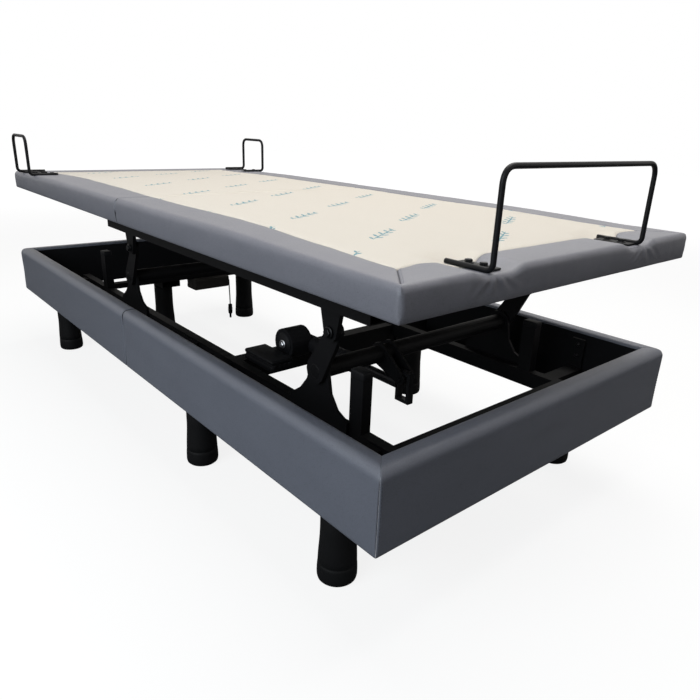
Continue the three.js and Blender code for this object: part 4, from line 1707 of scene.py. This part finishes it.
    def make_end_strip(self, half: Half) -> None:
        """Makes the border strip across one end, between its two mitres.

        Args:
            half: The half of the cover.
        """
        plan = self.plan
        section = self.strip_section()
        sign = half.value
        corner = plan.side_seam(sign * plan.end_seam)
        rings = []
        for v in self.steps(-plan.outer_x, plan.outer_x, 0.005):
            def locate(share: float, z: float, v: float = v) -> Pair:
                """Turns a share outwards and a height into x and y.

                Args:
                    share: Share outwards.
                    z: Height.
                    v: Share along the strip.

                Returns:
                    x and y.
                """
                reach = corner + (plan.outer_x - corner) * share
                x = (2 * v - 1) * reach
                inner = plan.end_line(min(abs(x), corner), half)
                return x, inner + (sign * plan.outer_y - inner) * share

            full = fullness(min(v, 1 - v) * 2 * plan.outer_x)
            rings.append(self.strip_ring(section, locate, (0.0, sign), full))
        strip = loft(f"border_{half.label}_end", rings, self.finishes.border)
        settle(strip, half.bodies[1])

    def make_mitre_stitches(self, half: Half, side: int) -> None:
        """Makes the stitches beside one corner seam, over the top.

        Args:
            half: The half of the cover.
            side: -1 for left, 1 for right.
        """
        plan = self.plan
        sign = half.value
        corner = plan.side_seam(sign * plan.end_seam)
        inner_y = plan.end_line(corner, half)
        paths = []
        for k in range(self.stitches):
            share = 0.08 + 0.78 * k / self.stitches
            x = side * (corner + (plan.outer_x - corner) * share - 0.0055)
            y = inner_y + (sign * plan.outer_y - inner_y) * share + sign * 0.001
            z = plan.height(x, y) - 0.0006
            bows = ((0.0, 0.0, 0.0), (0.0018, 0.0016, 0.0003), (0.0036, 0.0032, 0.0))
            paths.append([Vector((x + side * out, y + sign * on, z + rise)) for out, on, rise in bows])
        name = f"mitre_stitches_{half.label}_{side_name(side)}"
        settle(make_stitches(name, paths, 0.00045, self.finishes.thread), half.bodies[1])

    def make_wedge(self) -> None:
        """Makes the soft wedge between the two halves, in a cream and two leather pieces."""
        plan = self.plan
        floor_z = self.hinge.z + 0.006

        def line(z: float, t: float) -> float:
            """Returns y at a height, a share t of the way from the foot half to the head half."""
            low = self.fold_end(Half.FOOT, z) + self.slack
            high = self.fold_end(Half.HEAD, z) - self.slack
            return low + (high - low) * t

        def crest(t: float) -> float:
            """Returns 1 at the middle of the fold and 0 away from it."""
            return math.exp(-(((t - 0.5) / 0.13) ** 2))

        across = self.steps(-self.seam_x, self.seam_x)
        seam = plan.side_seam(self.hinge.y)
        tops, bottoms = [], []
        for t in self.fold_shares:
            y = line(plan.top, t)
            groove = 0.0030 * crest(t)
            for u in across:
                x = (2 * u - 1) * seam
                drop = seam_drop(seam - abs(x))
                tops.append((x, y, plan.height(x, y) - drop - groove))
                bottoms.append((x, line(plan.board_top, t), plan.board_top))
        middle = self.closed_slab("fold_top", tops, bottoms, len(across), self.finishes.knit)
        self.fold(middle, "top_fabric")
        section = [(s, d) for s, d in self.strip_section() if d is None or plan.top + d > floor_z]
        for side in LEFT_AND_RIGHT:
            rings = []
            for t in self.fold_shares:
                def locate(share: float, z: float, t: float = t) -> Pair:
                    """Turns a share outwards and a height into x and y."""
                    return side * (seam + (plan.outer_x - seam) * share), line(z, t)

                rings.append(self.strip_ring(section, locate, (side, 0.0), 1.0 - crest(t)))
            piece = loft(f"fold_border_{side_name(side)}", rings, self.finishes.border)
            # The outer faces in the middle of the fold get the near-black finish as painted shade.
            folded = range(3 * len(section), 5 * len(section))
            edge = plan.outer_x - self.edge_round
            darken_faces(piece, self.finishes.dark_inner_and_shade, lambda number, at: number in folded and abs(at.x) > edge)
            self.fold(piece, "grey_leather")

    def fold(self, piece: bpy.types.Object, slot: str) -> None:
        """Turns a piece of the wedge's faces outwards and fixes it in place in the world.

        Args:
            piece: The piece.
            slot: Not used.
        """
        face_outwards(piece)
        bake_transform(piece)
        LOG.info("made %s at the thigh hinge", piece.name)


# ---------------------------------------------------------------- mattress retainers
@dataclass
class Retainers(Maker):
    """The bent rods that hold the mattress, with their plates and bolts."""

    rod: float = 0.005
    top_bend: float = 0.028
    foot_bend: float = 0.014
    plate: float = 0.004
    bolt: float = 0.0068
    sunk: float = 0.011
    overhang: float = 0.012

    def build(self) -> None:
        """Makes the foot retainer and both side retainers."""
        self.make_foot()
        for side in LEFT_AND_RIGHT:
            self.make_side(side)

    def make_foot(self) -> None:
        """Makes the wide retainer at the foot end."""
        low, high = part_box("foot_retainer")
        half = high.x - 0.006
        base = low.z - self.sunk
        rod_z = base + self.rod - 0.0015
        out_y, in_y, top = low.y + self.rod, high.y - 0.012, high.z - self.rod
        corners = [(-half, in_y, rod_z), (-half, out_y, rod_z), (-half, out_y, top),
                   (half, out_y, top), (half, out_y, rod_z), (half, in_y, rod_z)]
        parts = [self.make_rod(corners)]
        plate_low = low.y + 0.014
        for side in LEFT_AND_RIGHT:
            start_x, stop_x = sorted((side * (half - 0.0045), side * (half - 0.036)))
            end = high.y - 0.0225
            corner = (stop_x, end, base + self.plate)
            parts.append(self.make_plate((start_x, plate_low, base), corner))
            for y in (plate_low + 0.024, end - 0.022):
                place = (side * (half - 0.020), y, base + self.plate)
                parts.append(hex_bolt("bolt", place, "z", 1, self.bolt, self.finishes.bolt))
        self.finish("foot_retainer", parts, "calf_section")

    def make_side(self, side: int) -> None:
        """Makes the narrow retainer on one side of the head end.

        Args:
            side: -1 for left, 1 for right.
        """
        node = f"side_retainer_{side_name(side)}"
        low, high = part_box(node)
        centre = (low.y + high.y) / 2
        half = (high.y - low.y) / 2 - self.rod
        rod_z = low.z + self.rod
        out_x = max(abs(low.x), abs(high.x)) - self.rod + self.overhang
        in_x = min(abs(low.x), abs(high.x)) + 0.004
        top = high.z - self.rod
        corners = [(side * in_x, centre - half, rod_z), (side * out_x, centre - half, rod_z),
                   (side * out_x, centre - half, top), (side * out_x, centre + half, top),
                   (side * out_x, centre + half, rod_z), (side * in_x, centre + half, rod_z)]
        parts = [self.make_rod(corners)]
        for end in LEFT_AND_RIGHT:
            middle = centre + end * (half - 0.0175)
            start_x, stop_x = sorted((side * in_x, side * (out_x - self.overhang - 0.005)))
            corner = (stop_x, middle + 0.013, low.z + self.plate)
            parts.append(self.make_plate((start_x, middle - 0.013, low.z), corner))
            for inward in (0.035, 0.077):
                place = (side * (out_x - inward), middle, low.z + self.plate)
                parts.append(hex_bolt("bolt", place, "z", 1, self.bolt, self.finishes.bolt))
        self.finish(node, parts, "back_section")

    def make_rod(self, corners: Sequence[Point]) -> bpy.types.Object:
        """Makes a bent rod with tight bends at its feet and rounder ones at its top."""
        bends = (self.foot_bend, self.top_bend, self.top_bend, self.foot_bend)
        return loft("rod", rod_rings(bent_path(corners, bends, 12), self.rod, 20), self.finishes.rod)

    def make_plate(self, low: Point, high: Point) -> bpy.types.Object:
        """Makes one plate with rounded edges."""
        return rounded_block("plate", low, high, 0.0014, self.finishes.rod, 2)

    def finish(self, node: str, parts: list[bpy.types.Object], body: str) -> None:
        """Joins a retainer's steel into one piece and its bolts into another.

        Args:
            node: CAD node.
            parts: Its steel and its bolts.
            body: Body that it rides on.
        """
        bolts = [p for p in parts if p.name.startswith("bolt")]
        steel = [p for p in parts if p not in bolts]
        settle(join_pieces(node + "_rod", steel), body, [node])
        settle(join_pieces(node + "_bolts", bolts), body)


# ---------------------------------------------------------------- legs
@dataclass
class Legs(Maker):
    """The moulded legs with their flared feet.

    Each profile row is how far inside the foot's radius, or the shank's, a point lies, and its
    height above the floor, or below the leg's top.
    """

    shank_inset: float = 0.005
    core: float = 0.004
    foot: tuple[Pair, ...] = (
        (0.010, 0.0), (0.0045, 0.0012), (0.0015, 0.004), (0.0003, 0.009), (0.0, 0.015), (0.0002, 0.024),
        (0.0007, 0.034), (0.0014, 0.0400), (0.0022, 0.0408), (0.0022, 0.0420), (0.0014, 0.0430),
    )
    taper: tuple[float, ...] = (0.055, 0.07, 0.085, 0.1, 0.115)
    collar: tuple[Pair, ...] = (
        (0.0, 0.014), (0.0012, 0.0128), (0.0012, 0.0112), (0.0, 0.010), (0.0, 0.001), (0.001, 0.0),
    )

    def build(self) -> None:
        """Makes every leg that the frame has."""
        for node in sorted(frame["nodes"]):
            if node.startswith("leg_") and "drive" not in node:
                self.make_leg(node)

    def make_leg(self, node: str) -> None:
        """Makes one leg: a round foot that flares, a tapered shank and a collar under the frame.

        Args:
            node: CAD node.
        """
        low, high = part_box(node)
        centre = ((low.x + high.x) / 2, (low.y + high.y) / 2, 0.0)
        foot = (high.x - low.x) / 2
        shank = foot - self.shank_inset
        narrowing = [(self.foot[-1][1], foot - 0.0016), (self.taper[-1], shank)]
        profile = [(self.core, 0.0)] + [(foot - inset, z) for inset, z in self.foot]
        profile += [(through(narrowing, z), z) for z in self.taper]
        profile += [(shank - inset, high.z - down) for inset, down in self.collar] + [(self.core, high.z)]
        piece = lathe(node + "_moulding", profile, centre, self.finishes.leg, sides=64)
        settle(piece, "underframe", [node])


# ---------------------------------------------------------------- electrics and drives
@dataclass(frozen=True)
class Shell:
    """Sizes of a moulded shell in two halves round a slightly smaller core."""

    gap: float
    inset: float
    sunk: float
    edges: tuple[float, float, float]
    segments: int

    def make(self, node: str, split: float, material: bpy.types.Material) -> list[bpy.types.Object]:
        """Makes the lower half, the core and the upper half of a box.

        Args:
            node: CAD node of the box.
            split: Height of the seam.
            material: Its finish.

        Returns:
            The three parts.
        """
        low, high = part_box(node)
        inner = (low.x + self.inset, low.y + self.inset, low.z + self.sunk)
        outer = (high.x - self.inset, high.y - self.inset, high.z - self.sunk)
        below, above = (high.x, high.y, split - self.gap), (low.x, low.y, split + self.gap)
        return [
            rounded_block("lower", tuple(low), below, self.edges[0], material, self.segments),
            rounded_block("core", inner, outer, self.edges[1], material, 3),
            rounded_block("upper", above, tuple(high), self.edges[2], material, self.segments),
        ]


@dataclass
class Electrics(Maker):
    """The control box and the power supply, with lids, ribs and sockets."""

    control: Shell = Shell(0.0008, 0.0012, 0.006, (0.007, 0.007, 0.005), 4)
    supply: Shell = Shell(0.0005, 0.0010, 0.007, (0.009, 0.008, 0.009), 5)
    lid_share: float = 0.62

    def build(self) -> None:
        """Makes both boxes."""
        self.make_control_box()
        self.make_power_supply()

    def make_control_box(self) -> None:
        """Makes the control box: a base, a lid with a shadow gap, ribs and a row of plugged sockets."""
        low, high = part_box("control_box")
        black = self.finishes.plastic_rest
        parts = self.control.make("control_box", low.z + self.lid_share * (high.z - low.z), black)
        for k in range(6):
            y = low.y + 0.030 + 0.014 * k
            ends = ((low.x + 0.012, y, high.z - 0.0015), (high.x - 0.012, y + 0.004, high.z))
            parts.append(rounded_block("rib", *ends, 0.0007, black, 2))
        settle(join_pieces("control_box_shell", parts), "underframe", ["control_box"])
        plugs = []
        for k in range(4):
            x = low.x + 0.011 + 0.0148 * k
            ends = ((x - 0.005, low.y - 0.0008, low.z + 0.010), (x + 0.005, low.y + 0.004, low.z + 0.020))
            plugs.append(rounded_block("plug", *ends, 0.0015, self.finishes.rubber, 2))
        settle(join_pieces("control_box_plugs", plugs), "underframe")

    def make_power_supply(self) -> None:
        """Makes the power supply: a rounded shell in two halves with a seam, and vents underneath."""
        low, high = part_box("power_supply")
        parts = self.supply.make("power_supply", (low.z + high.z) / 2, self.finishes.grey)
        for k in range(9):
            x = low.x + 0.030 + 0.0115 * k
            ends = ((x, low.y + 0.016, low.z), (x + 0.005, high.y - 0.016, low.z + 0.0012))
            parts.append(rounded_block("vent", *ends, 0.0005, self.finishes.grey, 2))
        settle(join_pieces("power_supply_shell", parts), "underframe", ["power_supply"])


@dataclass
class Drives(Maker):
    """Small parts of the three linear drives: collars, ribs and the lift motor's bolt."""

    bore: float = 0.0132
    collar: tuple[Pair, ...] = (
        (0.0232, 0.0), (0.0242, 0.0012), (0.0242, 0.011), (0.0224, 0.0135), (0.0132, 0.0135),
    )
    rib: tuple[Pair, ...] = ((0.0218, -0.0012), (0.0229, -0.0008), (0.0229, 0.0008), (0.0218, 0.0012))
    rib_start: float = 0.018
    rib_pitch: float = 0.0055
    boss: tuple[Pair, ...] = (
        (0.001, 0.0), (0.0300, 0.0), (0.0290, -0.0018), (0.0150, -0.0022), (0.0140, -0.0036),
        (0.001, -0.0038),
    )
    ring_sides: int = 40

    def build(self) -> None:
        """Adds the collars and ribs of every drive, and the bolt on the lift motor."""
        for drive, body in (("lift", "underframe"), ("back", "deck_frame"), ("leg", "deck_frame")):
            self.add_collar(drive, body)
        self.add_motor_bolt()

    def add_collar(self, drive: str, body: str) -> None:
        """Adds a front collar round the rod and ribs round the tube of one drive.

        Args:
            drive: lift, back or leg.
            body: Body that the drive's housing is on.
        """
        housing = f"{drive}_drive_housing"
        low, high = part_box(housing)
        rod_low, rod_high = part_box(f"{drive}_drive_rod")
        x = (rod_low.x + rod_high.x) / 2
        tail = 1 if rod_low.y < low.y else -1
        front = low.y if tail > 0 else high.y
        z = self.tube_height(housing, x, front)
        collar = [(self.bore, 0.0)] + [(r, tail * d) for r, d in self.collar]
        parts = [self.ring("collar", collar, (x, front, z))]
        for k in range(5):
            at = front + tail * (self.rib_start + self.rib_pitch * k)
            parts.append(self.ring("rib", self.rib, (x, at, z)))
        settle(join_pieces(housing + "_collar", parts), body)

    def add_motor_bolt(self) -> None:
        """Adds the bright bolt and its boss at the middle of the lift motor's end face."""
        points = [v.co for v in frame["nodes"]["lift_drive_housing"].data.vertices]
        outer = min(p.x for p in points)
        face = [p for p in points if abs(p.x - outer) < 0.0005]
        y = (min(p.y for p in face) + max(p.y for p in face)) / 2
        z = (min(p.z for p in face) + max(p.z for p in face)) / 2
        boss = lathe("lift_motor_boss", self.boss, (outer, y, z), self.finishes.plastic_rest, "x")
        settle(boss, "underframe")
        place = (outer + self.boss[-1][1], y, z)
        bolt = hex_bolt("lift_motor_bolt", place, "x", -1, 0.0085, self.finishes.bright)
        settle(bolt, "underframe")

    @staticmethod
    def tube_height(housing: str, x: float, front: float) -> float:
        """Returns the height of the housing's tube, from the points of its front face."""
        points = [v.co for v in frame["nodes"][housing].data.vertices]
        near = [p.z for p in points if abs(p.y - front) < 0.001 and abs(p.x - x) < 0.03]
        return (min(near) + max(near)) / 2

    def ring(self, name: str, profile: Sequence[Pair], centre: Point) -> bpy.types.Object:
        """Makes a ring round the Y axis from a closed profile of radius and distance along.

        Args:
            name: Name of the piece.
            profile: Radius and distance along.
            centre: Middle of the ring.

        Returns:
            The new object.
        """
        x, y, z = centre
        turns = [2 * math.pi * k / self.ring_sides for k in range(self.ring_sides)]
        points = [(x + r * math.cos(t), y + at, z + r * math.sin(t)) for r, at in profile for t in turns]
        grid = grid_faces(len(profile) + 1, self.ring_sides, loop=True)
        faces = [[i % len(points) for i in face] for face in grid]
        return make_piece(name, points, faces, self.finishes.plastic_rest)


# ---------------------------------------------------------------- steelwork
@dataclass
class Steelwork(Maker):
    """Finish of the CAD steel and boards, and the bolts, caps and screws on them."""

    edge: float = 0.0009
    edge_angle: float = math.radians(40)
    joint_bolts: tuple[float, ...] = (-0.068, -0.030, 0.030, 0.068)
    joint_sunk: float = 0.0065
    arm_bolt: float = 0.0095
    lug_top: float = 0.49
    screw_heights: Pair = (0.330, 0.299)
    cap_grow: float = 0.0012

    def build(self) -> None:
        """Dresses every CAD node that stays and adds the small parts."""
        self.dress()
        self.add_joint_bolts()
        self.add_pivot_caps()
        self.add_bracket_screws()
        self.add_post_caps()

    def dress(self) -> None:
        """Gives each CAD node that stays its finish, with softened edges on the steel."""
        made = self.finishes
        by_slot = {
            "frame_steel": made.steel, "lift_steel": made.steel, "rod_steel": made.zinc,
            "drive_plastic": made.plastic, "plywood": made.ply,
        }
        slots = {row["node"]: row["material_slot"] for row in frame["record"]["subparts"]}
        for node, piece in frame["nodes"].items():
            material = by_slot.get(slots[node])
            if material is None:
                continue
            if not piece.data.materials:
                piece.data.materials.append(material)
            for slot in piece.material_slots:
                slot.material = material
            bevel = piece.modifiers.new("soft edges", "BEVEL")
            bevel.width = self.edge
            bevel.segments = 2
            bevel.limit_method = "ANGLE"
            bevel.angle_limit = self.edge_angle

    def add_joint_bolts(self) -> None:
        """Adds the washers of the bolts in the plates that join the two lower frames."""
        for side in LEFT_AND_RIGHT:
            low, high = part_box(f"frame_joint_plate_{side_name(side)}")
            face = (low.x if side < 0 else high.x) - side * self.joint_sunk
            middle = (low.z + high.z) / 2
            washer = [(0.001, 0.0), (0.0100, 0.0), (0.0100, side * 0.0012), (0.001, side * 0.0014)]
            rings = [lathe("washer", washer, (face, y, middle), self.finishes.bolt, "x", 28)
                     for y in self.joint_bolts]
            settle(join_pieces(f"joint_washers_{side_name(side)}", rings), "underframe")

    def add_pivot_caps(self) -> None:
        """Adds a low end disc at each end of the lift shafts, and a bolt and washer at each upper pin."""
        reach = joint_place("deck_carry_pivot") - joint_place("lift_head_pivot")
        for row in ("foot", "head"):
            pivot = joint_place(f"lift_{row}_pivot")
            low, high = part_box(f"lift_shaft_{row}")
            for side in LEFT_AND_RIGHT:
                outer = high.x if side > 0 else low.x
                disc = [(0.001, 0.0), (0.0150, 0.0), (0.0150, side * 0.0004), (0.0142, side * 0.0006),
                        (0.001, side * 0.0006)]
                label = f"{row}_{side_name(side)}"
                place = (outer, pivot.y, pivot.z)
                cap = lathe(f"shaft_end_{label}", disc, place, self.finishes.bolt, "x", 40)
                settle(cap, f"lift_arms_{row}")
                pin = (self.lug_face(side), pivot.y + reach.y, pivot.z + reach.z)
                bolt = hex_bolt(f"arm_bolt_{label}", pin, "x", side, self.arm_bolt, self.finishes.bolt)
                settle(bolt, "deck_frame")

    def lug_face(self, side: int) -> float:
        """Returns the x of the outer face of the raised frame's lower lugs, past the pin's own end."""
        points = [v.co for v in frame["nodes"]["upper_frame"].data.vertices]
        return side * max(abs(p.x) for p in points if p.z < self.lug_top)

    def add_bracket_screws(self) -> None:
        """Adds the two screws in each bracket that holds a side board."""
        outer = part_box("lower_frame_foot")[1].x
        legs = [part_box(f"leg_{row}_left") for row in ("foot", "mid", "head")]
        for side in LEFT_AND_RIGHT:
            dome = [(0.0005, -side * 0.0042), (0.0030, -side * 0.0038), (0.0052, -side * 0.0022),
                    (0.0060, -side * 0.0008), (0.0060, 0.0)]
            places = [(side * (outer - 0.006), (low.y + high.y) / 2, z)
                      for low, high in legs for z in self.screw_heights]
            screws = [lathe("screw", dome, place, self.finishes.bolt, "x", 24) for place in places]
            settle(join_pieces(f"bracket_screws_{side_name(side)}", screws), "underframe")

    def add_post_caps(self) -> None:
        """Adds a moulded cap with a rounded top to each rest post."""
        grow = self.cap_grow
        for end in ("foot", "head"):
            for side in LEFT_AND_RIGHT:
                label = f"{end}_{side_name(side)}"
                low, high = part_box(f"rest_post_{label}")
                below = (low.x - grow, low.y - grow, high.z - 0.016)
                above = (high.x + grow, high.y + grow, high.z + 0.0013)
                plastic = self.finishes.plastic_rest
                cap = rounded_block(f"post_cap_{label}", below, above, 0.0045, plastic, 5)
                settle(cap, "underframe")


def main() -> None:
    """Builds the whole base, one class at a time."""
    finishes = Finishes()
    for maker in (Studio, PowerLead, RailBox, DeckCover, Retainers, Legs, Electrics, Drives, Steelwork):
        LOG.info("building %s", maker.__name__)
        maker(finishes).build()
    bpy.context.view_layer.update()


if __name__ == "__main__":
    main()
